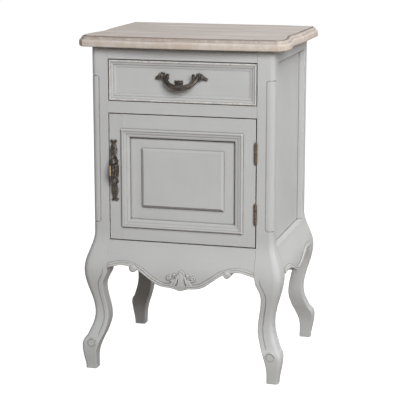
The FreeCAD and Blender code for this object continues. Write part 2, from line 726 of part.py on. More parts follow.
def apron_shell(apron):
    foot = front_outline(0, SILL_Z - SHELL_FOOT_DEPTH + SHELL_LOBE_WIDTH / 2)
    layers = [(stadium(SHELL_LOBE_WIDTH, SHELL_LOBE_LENGTH - SHELL_LOBE_WIDTH / 2, 0, foot), SHELL_LOBE_RISE)]
    for side in (-1, 1):
        leaf = stadium(SHELL_LEAF_WIDTH, SHELL_LEAF_LENGTH, side * SHELL_LEAF_ANGLE, foot)
        layers.append((leaf, SHELL_LEAF_RISE))
        eye = foot + V(side * SHELL_VOLUTE_REACH, 0, SHELL_VOLUTE_HEIGHT)
        layers.append((rod(SHELL_VOLUTE_RADIUS, eye, eye + FRONT_THROUGH), SHELL_VOLUTE_RISE))
    carved = []
    for outline, rise in layers:
        carved.append(bowed_skin(FRONT_APRON_BOTTOM, front_profile, rise, FRONT_LENGTH).common(outline))
    return joined(carved).cut(apron)


# Top
def top_half_outline(inset):
    # Right half as points: middle of the front, end of the bow, middle and end of the ear, waist, straight side
    side = HALF_WIDTH + TOP_SIDE_OVERHANG
    ear = HALF_WIDTH + TOP_EAR_OVERHANG
    front = FRONT_Y - TOP_FRONT_OVERHANG
    bow_x = HALF_WIDTH + TOP_BOW_OVERHANG
    bow_y = front + TOP_BOW
    return [
        (0.0, front + inset),
        (bow_x - inset * TOP_BOW_DRAW, bow_y + inset),
        (bow_x + (ear - bow_x) * TOP_EAR_MIDDLE[0] - inset * TOP_EAR_DRAW[0],
         bow_y + TOP_EAR_LENGTH * TOP_EAR_MIDDLE[1] + inset * TOP_EAR_DRAW[1]),
        (ear - inset, bow_y + TOP_EAR_LENGTH),
        (side - TOP_WAIST - inset, FRONT_Y + TOP_WAIST_PLACE),
        (side - inset, FRONT_Y + TOP_WAIST_END),
    ]


def top_outline(inset, height):
    half = [V(x, y, height) for x, y in top_half_outline(inset)]
    backwards = V(0, 1, 0)
    corner = V(half[-1].x, BACK_Y, height)
    ear = Part.Arc(*half[1:4]).toShape()
    right = [ear, spline(half[3:], backwards, backwards), line(half[-1], corner)]
    left = [mirror_x(edge) for edge in reversed(right)]
    front = Part.Arc(V(-half[1].x, half[1].y, height), half[0], half[1]).toShape()
    back = line(corner, V(-corner.x, corner.y, height))
    return Part.Wire([front] + right + [back] + left)


def top_edge_profile():
    # (inset, height) up the edge: eased arris, upright band, ledge, ovolo, quirk and rim
    return [(inset * TOP_EDGE_WIDTH, height * TOP_THICKNESS) for inset, height in TOP_EDGE_SHAPE]


def top_panel():
    outlines = [top_outline(inset, CARCASS_TOP_Z + height) for inset, height in top_edge_profile()]
    return Part.makeLoft(outlines, True, True)


# Panels of the carcass
def side_panel():
    return box(SIDE_INNER_X, SIDE_INNER_X + SIDE_PANEL_THICKNESS, SIDE_FRONT_Y - PANEL_TONGUE,
               SIDE_BACK_Y + PANEL_TONGUE, SILL_Z - PANEL_TONGUE, DRAWER_HEAD_Z + PANEL_TONGUE)


def back_panel():
    half = OPENING_HALF + BACK_PANEL_LAP
    return box(-half, half, BACK_Y - BACK_PANEL_THICKNESS, BACK_Y,
               SILL_Z - BACK_PANEL_LAP, DRAWER_HEAD_Z + BACK_PANEL_LAP)


def back_pins():
    # Down both edges of the back panel, into the rear posts
    low = SILL_Z
    step = (DRAWER_HEAD_Z - SILL_Z) / BACK_PINS_PER_SIDE
    pins = []
    for side in (-1, 1):
        for index in range(BACK_PINS_PER_SIDE):
            end = V(side * (OPENING_HALF + BACK_PANEL_LAP / 2), BACK_Y, low + step * (index + 0.5))
            pins.append(rod(PIN_RADIUS, end, end - V(0, PIN_LENGTH, 0)))
    return pins


def floor_panel():
    # Cabinet floor, notched round the four posts
    low = SILL_Z - FLOOR_THICKNESS
    between = box(-OPENING_HALF, OPENING_HALF, FRONT_Y + RAIL_THICKNESS, BACK_Y - RAIL_THICKNESS, low, SILL_Z)
    wings = box(-SIDE_INNER_X, SIDE_INNER_X, SIDE_FRONT_Y, SIDE_BACK_Y, low, SILL_Z)
    return joined([between, wings])


def floor_bearer():
    high = SILL_Z - FLOOR_THICKNESS
    return box(SIDE_INNER_X - BEARER_SIZE, SIDE_INNER_X, SIDE_FRONT_Y, SIDE_BACK_Y, high - BEARER_SIZE, high)


# Drawer track
def drawer_runner():
    return box(OPENING_HALF - RUNNER_WIDTH, OPENING_HALF, FRONT_Y + MIDDLE_RAIL_DEPTH,
               BACK_Y - BACK_PANEL_THICKNESS, DRAWER_SILL_Z - RUNNER_HEIGHT, DRAWER_SILL_Z)


def drawer_guide():
    return box(OPENING_HALF, SIDE_INNER_X, SIDE_FRONT_Y, SIDE_BACK_Y,
               DRAWER_SILL_Z - RUNNER_HEIGHT, DRAWER_SILL_Z + GUIDE_RISE)


def drawer_kicker():
    return box(OPENING_HALF - RUNNER_WIDTH, OPENING_HALF, FRONT_Y + RAIL_THICKNESS,
               BACK_Y - RAIL_THICKNESS, DRAWER_HEAD_Z, CARCASS_TOP_Z)


def drawer_stops():
    front = DRAWER_BACK_FACE_Y + RUNNING_CLEARANCE
    stops = []
    for side in (-1, 1):
        middle = side * (OPENING_HALF - STOP_INSET)
        stops.append(box(middle - STOP_WIDTH / 2, middle + STOP_WIDTH / 2, front, front + STOP_LENGTH,
                         DRAWER_SILL_Z, DRAWER_SILL_Z + STOP_HEIGHT))
    return stops


def top_screws():
    # Up through the kickers into the top
    screws = []
    for side in (-1, 1):
        for place in (-1, 1):
            x = side * (OPENING_HALF - RUNNER_WIDTH / 2)
            foot = V(x, MIDDLE_Y + place * TOP_SCREW_SPACING / 2, DRAWER_HEAD_Z)
            neck = foot + V(0, 0, TOP_SCREW_HEAD_HEIGHT)
            tip = V(x, foot.y, CARCASS_TOP_Z + TOP_SCREW_BITE)
            screws.append(joined([rod(TOP_SCREW_HEAD_RADIUS, foot, neck), rod(TOP_SCREW_RADIUS, foot, tip)]))
    return screws


# Mitred mouldings: a profile of (inwards, rise) corners and arcs, run round a rectangle
def drawer_profile():
    # Border of the drawer front: the shares of its shape, times its width and its rise over the field
    return [(kind, [(inwards * DRAWER_BORDER_WIDTH, rise * DRAWER_FIELD_RECESS) for inwards, rise in corners])
            for kind, corners in DRAWER_BORDER_SHAPE]


def door_profile():
    # Bolection moulding: laps the frame at its outer edge and stands on the panel at its inner edge
    width = MOULDING_WIDTH
    lap = [("line", [(width, -DOOR_PANEL_RECESS), (MOULDING_LAP, -DOOR_PANEL_RECESS)]),
           ("line", [(MOULDING_LAP, -DOOR_PANEL_RECESS), (MOULDING_LAP, 0)]),
           ("line", [(MOULDING_LAP, 0), (0, 0)])]
    inner_edge = (width, DOOR_MOULDING_SHAPE[-1][1][-1][1] * MOULDING_RISE)
    face = [(kind, [(inwards * width, rise * MOULDING_RISE) for inwards, rise in corners])
            for kind, corners in DOOR_MOULDING_SHAPE]
    return face + [("line", [inner_edge, (width, -DOOR_PANEL_RECESS)])] + lap


def moulding_length(profile, length, width):
    # One length along +X, outer edge at z = 0 and its back at y = 0, mitred at both ends
    def place(corner):
        return V(-length / 2, -corner[1], corner[0])

    edges = []
    for kind, corners in profile:
        if kind == "arc":
            edges.append(Part.Arc(*[place(corner) for corner in corners]).toShape())
        else:
            edges.append(line(place(corners[0]), place(corners[1])))
    stick = prism(edges, V(length, 0, 0))
    half = length / 2
    reach = 4 * width
    kept = closed_polygon([V(-half, -reach, 0), V(half, -reach, 0), V(half - width, -reach, width),
                           V(width - half, -reach, width)])
    return stick.common(Part.Face(kept).extrude(V(0, 2 * reach, 0)))


def moulding_frame(profile, width, half_x, low_z, high_z, back_y):
    # Bottom, right, top and left lengths round a rectangle
    middle = V(0, back_y, (low_z + high_z) / 2)
    half_z = (high_z - low_z) / 2
    lengths = []
    for turn in range(4):
        upright = turn % 2
        piece = moulding_length(profile, 2 * (half_z if upright else half_x), width)
        piece.translate(V(0, 0, -(half_x if upright else half_z)))
        piece.rotate(V(0, 0, 0), V(0, -1, 0), 90 * turn)
        piece.translate(middle)
        lengths.append(piece)
    return lengths


# Drawer
def drawer_side():
    inner = DRAWER_EDGE_X - DRAWER_SIDE_THICKNESS
    top = DRAWER_BASE_Z + DRAWER_SIDE_HEIGHT
    board = box(inner, DRAWER_EDGE_X, DRAWER_BACK_FACE_Y, DRAWER_END_Y, DRAWER_BASE_Z, top)
    pitch = DRAWER_SIDE_HEIGHT / DOVETAIL_COUNT
    tails = []
    for index in range(DOVETAIL_COUNT):
        middle = DRAWER_BASE_Z + pitch * (index + 0.5)
        root = pitch / 4
        tip = root + DOVETAIL_FLARE
        tail = closed_polygon([
            V(inner, DRAWER_BACK_FACE_Y, middle - root),
            V(inner, DRAWER_BACK_FACE_Y - DOVETAIL_LAP, middle - tip),
            V(inner, DRAWER_BACK_FACE_Y - DOVETAIL_LAP, middle + tip),
            V(inner, DRAWER_BACK_FACE_Y, middle + root),
        ])
        tails.append(Part.Face(tail).extrude(V(DRAWER_SIDE_THICKNESS, 0, 0)))
    return joined([board] + tails)


def drawer_bottom():
    half = DRAWER_EDGE_X - DRAWER_SIDE_THICKNESS + DRAWER_GROOVE
    low = DRAWER_BASE_Z + DRAWER_BOTTOM_RISE
    return box(-half, half, DRAWER_BACK_FACE_Y - DRAWER_GROOVE, DRAWER_END_Y - DRAWER_BACK_INSET,
               low, low + DRAWER_BOTTOM_THICKNESS)


def drawer_back():
    half = DRAWER_EDGE_X - DRAWER_SIDE_THICKNESS + DRAWER_GROOVE
    far = DRAWER_END_Y - DRAWER_BACK_INSET
    low = DRAWER_BASE_Z + DRAWER_BOTTOM_RISE + DRAWER_BOTTOM_THICKNESS
    high = DRAWER_BASE_Z + DRAWER_SIDE_HEIGHT - DRAWER_BACK_DROP
    return box(-half, half, far - DRAWER_SIDE_THICKNESS, far, low, high)


def drawer_front(cutters):
    low = DRAWER_SILL_Z + DRAWER_GAP_BOTTOM
    high = DRAWER_HEAD_Z - DRAWER_GAP_TOP
    face = FRONT_Y + DRAWER_FIELD_RECESS
    board = box(-DRAWER_EDGE_X, DRAWER_EDGE_X, face, DRAWER_BACK_FACE_Y, low, high)
    border = moulding_frame(drawer_profile(), DRAWER_BORDER_WIDTH, DRAWER_EDGE_X, low, high, face)
    return without(joined([board] + border), cutters)


def pull_screws(places, direction, grip):
    # Machine screws from behind: head on the back, shank through the board and into the casting
    screws = []
    for place in places:
        head = rod(PULL_SCREW_HEAD_RADIUS, place, place - direction * PULL_SCREW_HEAD_HEIGHT)
        shank = rod(PULL_SCREW_RADIUS, place, place + direction * (grip + PULL_SCREW_BITE))
        screws.append(joined([head, shank]))
    return screws


def drawer_pull():
    out = V(0, -1, 0)
    pieces = []
    ends = []
    for side in (-1, 1):
        seat = V(side * PULL_SPACING / 2, PULL_Y, PULL_Z)
        end = seat + out * PULL_FOOT_LENGTH
        ends.append(end)
        pieces.append(rod(PULL_FOOT_RADIUS, seat, end))
        pieces.append(Part.makeSphere(PULL_FOOT_RADIUS, end))
        curl = end + V(-side * PULL_CURL_INSET, 0, PULL_CURL_RISE)
        pieces.append(Part.makeSphere(PULL_CURL_RADIUS, curl))
        pieces.append(rod(PULL_CURL_NECK, end, curl))
        along = V(side * PULL_LEAF_LENGTH, PULL_FOOT_LENGTH / 2, PULL_LEAF_RISE)
        pieces.append(Part.makeCone(PULL_LEAF_ROOT, PULL_LEAF_TIP, along.Length, end, along))
    low = V(0, PULL_Y - PULL_BOW_REACH, PULL_Z - PULL_BOW_DROP)
    path = Part.Wire([Part.Arc(ends[0], low, ends[1]).toShape()])
    start_edge = path.Edges[0]
    tangent = start_edge.tangentAt(start_edge.FirstParameter)
    ring = Part.Wire([Part.Circle(ends[0], tangent, PULL_BOW_RADIUS).toShape()])
    pieces.append(path.makePipeShell([ring], True, False))
    crown_low = low + V(-PULL_CROWN_WIDTH / 2, -PULL_CROWN_DEPTH / 2, 0)
    pieces.append(Part.makeBox(PULL_CROWN_WIDTH, PULL_CROWN_DEPTH, PULL_CROWN_HEIGHT, crown_low))
    return joined(pieces)


# Door
def door_stile():
    # Right stile; the left one is its mirror, with other cuts
    inner = DOOR_EDGE_X - DOOR_STILE_FACE - MOULDING_LAP
    return box(inner, DOOR_EDGE_X, FRONT_Y, FRONT_Y + DOOR_THICKNESS, DOOR_BOTTOM_Z, DOOR_TOP_Z)


def door_rail(low, high):
    half = DOOR_EDGE_X - DOOR_STILE_FACE - MOULDING_LAP
    near = FRONT_Y + DOOR_PANEL_RECESS
    far = near + DOOR_PANEL_THICKNESS
    body = box(-half, half, FRONT_Y, FRONT_Y + DOOR_THICKNESS, low, high)
    reach = half + DOOR_TENON_LENGTH
    tenons = box(-reach, reach, near, far, low + TENON_SHOULDER, high - TENON_SHOULDER)
    return joined([body, tenons])


DOOR_TOP_RAIL_LOW = DOOR_TOP_Z - DOOR_TOP_RAIL_FACE - MOULDING_LAP
DOOR_BOTTOM_RAIL_HIGH = DOOR_BOTTOM_Z + DOOR_BOTTOM_RAIL_FACE + MOULDING_LAP


def door_panel():
    half = DOOR_EDGE_X - DOOR_STILE_FACE - MOULDING_LAP
    face = FRONT_Y + DOOR_PANEL_RECESS
    tongue = DOOR_PANEL_TONGUE
    board = box(-half - tongue, half + tongue, face, face + DOOR_PANEL_THICKNESS,
                DOOR_BOTTOM_RAIL_HIGH - tongue, DOOR_TOP_RAIL_LOW + tongue)
    inside = MOULDING_WIDTH - MOULDING_LAP
    right = half - inside - FIELD_SIDE_MARGIN
    low = DOOR_BOTTOM_RAIL_HIGH + inside + FIELD_BOTTOM_MARGIN
    high = DOOR_TOP_RAIL_LOW - inside - FIELD_TOP_MARGIN
    rings = []
    for shrink, rise in ((0, 0), (0, FIELD_STEP), (FIELD_BEVEL, FIELD_RISE)):
        y = face - rise
        rings.append(closed_polygon([V(shrink - right, y, low + shrink), V(right - shrink, y, low + shrink),
                                     V(right - shrink, y, high - shrink), V(shrink - right, y, high - shrink)]))
    return joined([board, Part.makeLoft(rings, True, True)])


def door_mouldings():
    half = DOOR_EDGE_X - DOOR_STILE_FACE
    low = DOOR_BOTTOM_Z + DOOR_BOTTOM_RAIL_FACE
    high = DOOR_TOP_Z - DOOR_TOP_RAIL_FACE
    return moulding_frame(door_profile(), MOULDING_WIDTH, half, low, high, FRONT_Y)


def door_pull():
    out = V(0, -1, 0)
    centre = V(GRIP_X, FRONT_Y, GRIP_Z)
    axis = centre + out * GRIP_REACH
    half = GRIP_BARREL_HEIGHT / 2
    bulge = Part.Arc(V(GRIP_BARREL_NECK, 0, -half), V(GRIP_BARREL_RADIUS, 0, 0), V(GRIP_BARREL_NECK, 0, half))
    outline = [bulge.toShape(), line(V(GRIP_BARREL_NECK, 0, half), V(0, 0, half)),
               line(V(0, 0, half), V(0, 0, -half)), line(V(0, 0, -half), V(GRIP_BARREL_NECK, 0, -half))]
    barrel = Part.Face(Part.Wire(outline)).revolve(V(0, 0, 0), V(0, 0, 1), 360)
    barrel.translate(axis)
    pieces = [barrel]
    for side in (-1, 1):
        seat = centre + V(0, 0, side * GRIP_SPACING / 2)
        up = V(0, 0, side)
        heart = seat + out * GRIP_LEAF_RISE
        pieces.append(rod(GRIP_FOOT_RADIUS, seat, heart + out))
        for way in (-1, 1):
            pieces.append(Part.makeCone(GRIP_LEAF_WIDTH / 2, GRIP_TIP_RADIUS, GRIP_LEAF_LENGTH / 2, heart, up * way))
        tip = heart + up * GRIP_FINIAL_LENGTH
        across = V(GRIP_TIP_WIDTH / 2, 0, 0)
        pieces.append(rod(GRIP_TIP_RADIUS, heart, tip))
        pieces.append(rod(GRIP_TIP_RADIUS, tip - across, tip + across))
        for hand in (-1, 1):
            root = heart - up * (GRIP_LEAF_LENGTH / 3)
            end = axis + V(hand * GRIP_BARREL_NECK / 2, 0, side * (half - GRIP_ARM_RADIUS))
            bow = (root + end) * 0.5 + V(hand * GRIP_ARM_SPREAD, 0, 0)
            arm = Part.Wire([Part.Arc(root, bow, end).toShape()])
            tangent = arm.Edges[0].tangentAt(arm.Edges[0].FirstParameter)
            ring = Part.Wire([Part.Circle(root, tangent, GRIP_ARM_RADIUS).toShape()])
            pieces.append(arm.makePipeShell([ring], True, False))
    room = 2 * GRIP_REACH
    front = box(GRIP_X - room, GRIP_X + room, FRONT_Y - room, FRONT_Y, SILL_Z, DOOR_HEAD_Z)
    return joined(pieces).common(front)


# Hinges
def hinge_bottoms():
    return {"upper": DOOR_TOP_Z - HINGE_INSET - HINGE_LENGTH, "lower": DOOR_BOTTOM_Z + HINGE_INSET}


def hinge_leaf(low, plate_x0, plate_x1, first_knuckle, fit):
    # A plate let into its edge, with every second knuckle of the barrel
    pitch = HINGE_LENGTH / HINGE_KNUCKLES
    leaf = [box(plate_x0, plate_x1, FRONT_Y, FRONT_Y + HINGE_LEAF_WIDTH, low, low + HINGE_LENGTH)]
    for index in range(first_knuckle, HINGE_KNUCKLES, 2):
        start = low + pitch * index + HINGE_KNUCKLE_GAP / 2
        end = low + pitch * (index + 1) - HINGE_KNUCKLE_GAP / 2
        leaf.append(rod(HINGE_BARREL_RADIUS, V(HINGE_X, HINGE_Y, start), V(HINGE_X, HINGE_Y, end)))
        leaf.append(box(plate_x0, plate_x1, HINGE_Y, FRONT_Y, start, end))
    bore = rod(HINGE_PIN_RADIUS + fit, V(HINGE_X, HINGE_Y, low), V(HINGE_X, HINGE_Y, low + HINGE_LENGTH))
    return joined(leaf).cut(bore)


def post_leaf(low):
    outer = OPENING_HALF + HINGE_LEAF_RECESS
    return hinge_leaf(low, outer - HINGE_LEAF_THICKNESS, outer, 0, HINGE_FIXED_FIT)


def door_leaf(low):
    inner = DOOR_EDGE_X - HINGE_LEAF_RECESS
    return hinge_leaf(low, inner, inner + HINGE_LEAF_THICKNESS, 1, HINGE_RUNNING_FIT)


def hinge_pin(low):
    foot = V(HINGE_X, HINGE_Y, low)
    top = foot + V(0, 0, HINGE_LENGTH)
    shank = rod(HINGE_PIN_RADIUS, foot, top)
    head = rod(HINGE_PIN_HEAD_RADIUS, top, top + V(0, 0, HINGE_PIN_HEAD_HEIGHT))
    return joined([shank, head])


def hinge_screws(low, face_x, direction):
    # Countersunk flush with the leaf
    screws = []
    for place in (-1, 1):
        z = low + HINGE_LENGTH / 2 + place * HINGE_SCREW_SPACING / 2
        start = V(face_x, FRONT_Y + HINGE_SCREW_PLACE, z)
        along = V(direction, 0, 0)
        head = Part.makeCone(SCREW_HEAD_RADIUS, SCREW_SHANK_RADIUS, HINGE_LEAF_THICKNESS, start, along)
        screws.append(joined([head, rod(SCREW_SHANK_RADIUS, start, start + along * SCREW_LENGTH)]))
    return screws


# Magnetic catch
def catch_body():
    front = FRONT_Y + DOOR_THICKNESS + STRIKE_THICKNESS + CATCH_GAP
    half = CATCH_WIDTH / 2
    return box(CATCH_X - half, CATCH_X + half, front, front + CATCH_DEPTH,
               DOOR_HEAD_Z - CATCH_HEIGHT, DOOR_HEAD_Z)


def catch_screws():
    middle_y = FRONT_Y + DOOR_THICKNESS + STRIKE_THICKNESS + CATCH_GAP + CATCH_DEPTH / 2
    screws = []
    for place in (-1, 1):
        start = V(CATCH_X + place * CATCH_SCREW_SPACING / 2, middle_y, DOOR_HEAD_Z - CATCH_HEIGHT)
        up = V(0, 0, 1)
        head = Part.makeCone(SCREW_HEAD_RADIUS, SCREW_SHANK_RADIUS, SCREW_HEAD_RADIUS, start, up)
        screws.append(joined([head, rod(SCREW_SHANK_RADIUS, start, start + up * CATCH_SCREW_LENGTH)]))
    return screws


def strike_plate():
    half = STRIKE_WIDTH / 2
    back = FRONT_Y + DOOR_THICKNESS
    return box(CATCH_X - half, CATCH_X + half, back, back + STRIKE_THICKNESS,
               DOOR_TOP_Z - STRIKE_HEIGHT, DOOR_TOP_Z)


def strike_screw():
    start = V(CATCH_X, FRONT_Y + DOOR_THICKNESS + STRIKE_THICKNESS, DOOR_TOP_Z - STRIKE_HEIGHT / 2)
    along = V(0, -1, 0)
    head = Part.makeCone(SCREW_HEAD_RADIUS, SCREW_SHANK_RADIUS, STRIKE_THICKNESS, start, along)
    return joined([head, rod(SCREW_SHANK_RADIUS, start, start + along * SCREW_LENGTH)])


# Sub-assemblies
def carcass_parts():
    parts = {}
    hinges = hinge_bottoms()
    panel = side_panel()
    back = back_panel()
    pins = back_pins()
    fixings = top_screws()
    leaf_screws = []
    for place, low in hinges.items():
        leaf = post_leaf(low)
        screws = hinge_screws(low, OPENING_HALF + HINGE_LEAF_RECESS - HINGE_LEAF_THICKNESS, 1)
        parts[place + "_hinge_post_leaf"] = without(leaf, screws)
        leaf_screws += screws
    hinge_gains = [parts[place + "_hinge_post_leaf"] for place in hinges]
    catch_fixings = catch_screws()

    front_leg = front_right_leg([panel])
    rear_leg = rear_right_leg([panel, back] + pins)
    parts["front_right_leg"] = without(front_leg, hinge_gains + leaf_screws)
    parts["front_left_leg"] = mirror_x(front_leg)
    parts["rear_right_leg"] = rear_leg
    parts["rear_left_leg"] = mirror_x(rear_leg)

    back_front = BACK_Y - RAIL_THICKNESS
    parts["front_top_rail"] = cross_rail(DRAWER_HEAD_Z, CARCASS_TOP_Z, FRONT_Y, FRONT_Y + RAIL_THICKNESS,
                                         front_tenon(*TOP_TENON))
    middle_rail = cross_rail(DOOR_HEAD_Z, DRAWER_SILL_Z, FRONT_Y, FRONT_Y + MIDDLE_RAIL_DEPTH,
                             front_tenon(*MIDDLE_TENON))
    parts["front_middle_rail"] = without(middle_rail, catch_fixings)
    parts["front_apron"] = front_apron()
    parts["apron_shell"] = apron_shell(parts["front_apron"])
    parts["back_top_rail"] = cross_rail(DRAWER_HEAD_Z, CARCASS_TOP_Z, back_front, BACK_Y,
                                        back_tenon(*TOP_TENON)).cut(back)
    parts["back_bottom_rail"] = cross_rail(SILL_Z - BACK_BOTTOM_RAIL_HEIGHT, SILL_Z, back_front, BACK_Y,
                                           back_tenon(*APRON_TENON)).cut(back)

    right_side = {
        "side_panel": panel,
        "side_top_rail": side_top_rail().cut(panel),
        "side_apron": side_apron().cut(panel),
        "floor_bearer": floor_bearer(),
        "drawer_runner": drawer_runner(),
        "drawer_guide": drawer_guide(),
        "drawer_kicker": without(drawer_kicker(), fixings),
    }
    for name, shape in right_side.items():
        parts["right_" + name] = shape
        parts["left_" + name] = mirror_x(shape)

    parts["back_panel"] = without(back, pins)
    parts["back_panel_pins"] = Part.makeCompound(pins)
    parts["cabinet_floor"] = floor_panel()
    parts["drawer_stops"] = Part.makeCompound(drawer_stops())
    parts["top_panel"] = without(top_panel(), fixings)
    parts["top_fixing_screws"] = Part.makeCompound(fixings)
    parts["hinge_pins"] = Part.makeCompound([hinge_pin(low) for low in hinges.values()])
    parts["hinge_post_screws"] = Part.makeCompound(leaf_screws)
    parts["magnetic_catch"] = without(catch_body(), catch_fixings)
    parts["catch_screws"] = Part.makeCompound(catch_fixings)
    return parts


def drawer_parts():
    bottom = drawer_bottom()
    back = drawer_back()
    right = drawer_side()
    left = mirror_x(right)
    places = [V(side * PULL_SPACING / 2, DRAWER_BACK_FACE_Y, PULL_Z) for side in (-1, 1)]
    screws = pull_screws(places, V(0, -1, 0), DRAWER_FRONT_THICKNESS - DRAWER_FIELD_RECESS)
    return {
        "drawer_front": drawer_front([right, left, bottom] + screws),
        "drawer_right_side": without(right, [bottom, back]),
        "drawer_left_side": without(left, [bottom, back]),
        "drawer_back": back,
        "drawer_bottom": bottom,
        "drawer_pull": without(drawer_pull(), screws),
        "drawer_pull_screws": Part.makeCompound(screws),
    }


def door_parts():
    parts = {}
    panel = door_panel()
    top_rail = door_rail(DOOR_TOP_RAIL_LOW, DOOR_TOP_Z).cut(panel)
    bottom_rail = door_rail(DOOR_BOTTOM_Z, DOOR_BOTTOM_RAIL_HIGH).cut(panel)
    rails = [panel, top_rail, bottom_rail]
    leaf_screws = []
    for place, low in hinge_bottoms().items():
        screws = hinge_screws(low, DOOR_EDGE_X - HINGE_LEAF_RECESS + HINGE_LEAF_THICKNESS, -1)
        parts[place + "_hinge_door_leaf"] = without(door_leaf(low), screws)
        leaf_screws += screws
    leaves = list(parts.values())
    places = [V(GRIP_X, FRONT_Y + DOOR_THICKNESS, GRIP_Z + side * GRIP_SPACING / 2) for side in (-1, 1)]
    screws = pull_screws(places, V(0, -1, 0), DOOR_THICKNESS)
    strike_fixing = strike_screw()
    right = door_stile()
    parts["door_right_stile"] = without(right, rails + leaves + leaf_screws)
    parts["door_left_stile"] = without(mirror_x(right), rails + screws)
    parts["door_top_rail"] = top_rail.cut(strike_fixing)
    parts["door_bottom_rail"] = bottom_rail
    parts["door_panel"] = panel
    for side, moulding in zip(("bottom", "right", "top", "left"), door_mouldings()):
        parts["door_" + side + "_moulding"] = moulding
    parts["door_pull"] = without(door_pull(), screws)
    parts["door_pull_screws"] = Part.makeCompound(screws)
    parts["hinge_door_screws"] = Part.makeCompound(leaf_screws)
    parts["strike_plate"] = strike_plate().cut(strike_fixing)
    parts["strike_screw"] = strike_fixing
    return parts


os.makedirs("parts", exist_ok=True)
for name, shape in {**carcass_parts(), **drawer_parts(), **door_parts()}.items():
    shape.exportStep(os.path.join("parts", name + ".step"))
    print(name, len(shape.Solids), "solids", round(shape.Volume / 1000, 2), "cm3", shape.isValid())
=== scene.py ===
import math

import bmesh
import bpy
from mathutils import Matrix, Vector


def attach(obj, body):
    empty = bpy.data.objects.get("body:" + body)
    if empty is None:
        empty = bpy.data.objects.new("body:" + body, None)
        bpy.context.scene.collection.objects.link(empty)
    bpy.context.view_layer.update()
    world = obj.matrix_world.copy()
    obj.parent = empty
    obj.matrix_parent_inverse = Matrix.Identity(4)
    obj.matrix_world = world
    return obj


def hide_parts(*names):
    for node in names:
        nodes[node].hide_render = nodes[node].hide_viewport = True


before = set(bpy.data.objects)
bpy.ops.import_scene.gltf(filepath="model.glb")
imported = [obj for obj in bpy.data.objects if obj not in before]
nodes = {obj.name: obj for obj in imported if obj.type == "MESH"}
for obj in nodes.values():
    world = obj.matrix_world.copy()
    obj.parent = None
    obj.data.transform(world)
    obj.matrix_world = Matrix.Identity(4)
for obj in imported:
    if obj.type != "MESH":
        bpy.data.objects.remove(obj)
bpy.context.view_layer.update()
scene = bpy.context.scene

# Camera: angles in degrees, place in metres, lens and sensor in millimetres
VIEW_TURN = 15.50
VIEW_RISE = 11.82
CAMERA_PLACE = (0.7899, -2.86885, 0.9604)
CAMERA_LENS = 127.71
SENSOR_WIDTH = 36.0

# Studio: place and width of each soft box in metres, and its power in watts
SOFT_BOXES = {
    "key_box": ((1.78, -3.09, 2.14), 1.6, 150.0),
    "side_box": ((2.66, 1.86, 1.71), 2.0, 36.0),
    "left_box": ((-1.19, -3.26, 2.40), 1.6, 9.0),
    "overhead_box": ((1.2, 0.3, 3.0), 1.5, 45.0),
    "back_box": ((-2.9, 2.0, 1.9), 2.0, 30.0),
}
LIGHT_AIM = (0.0, 0.0, 0.4)
SKY_STRENGTH = 0.03
FLOOR_HALF_WIDTH = 30.0
FLOOR_GLOW = 1.0
FLOOR_SHEEN = 0.5

# Directions: out of the front, up, and where the light comes from for the painted shadow and shade, with
# how far the search for the painted shadow leans that way
OUTWARD = Vector((0.0, -1.0, 0.0))
UPWARD = Vector((0.0, 0.0, 1.0))
PAINTED_LIGHT_FROM = Vector((0.5, 0.0, 0.85))
SHADOW_LEAN = 0.8

# Carcass, in millimetres from here on; the leg's line is height and reach, an apron's edge is place and
# height
MM = 0.001
FRONT_Y = -159.25
HALF_WIDTH = 190.5
OPENING_HALF = 155.5
TOP_UNDER_Z = 678.0
TOP_THICKNESS = 22.0
ANKLE = (119.0, 1.0)
KNEE = (214.0, 19.0)
KNEE_RUN_OUT = (295.0, 0.0)
SIDE_MIDDLE_Y = 4.25
SIDE_HALF_LENGTH = 132.5
APRON_EDGE = (
    (0.0, 182.5), (14.0, 186.5), (40.0, 190.0), (63.8, 203.0), (90.2, 221.5), (119.7, 229.5), (155.5, 222.0),
)
SIDE_APRON_EDGE = (
    (0.0, 199.0), (21.2, 201.5), (53.0, 213.5), (82.2, 222.0), (106.0, 224.0), (132.5, 222.0),
)

# Beads along the aprons: distance in from the edge and half width of each row, then how far the beads stand
# out and where they start and stop
BEAD_ROWS = ((7.2, 1.7), (2.4, 2.1))
BEAD_STAND = 1.7
BEAD_HALF_DEPTH = 1.5
BEAD_START = 13.0
BEAD_STOP_SHORT = 1.5

# Scroll drops under the arches: place, radii, gap left for them in the bead, and the curl on their face
DROP_PLACE = (99.5, 224.5)
DROP_RADII = (9.2, 4.6, 7.6)
DROP_HALF_GAP = 6.0
DROP_CURL_RADII = (7.0, 5.6)
DROP_CURL_START = -200.0
DROP_CURL_TURN = 34.0
DROP_CURL_STOPS = 13
DROP_CURL_TIGHTENS = 0.07
DROP_CURL_STAND = 2.2
DROP_CURL_LIFT = 0.18
DROP_CURL_SECTION = (1.3, 1.6)

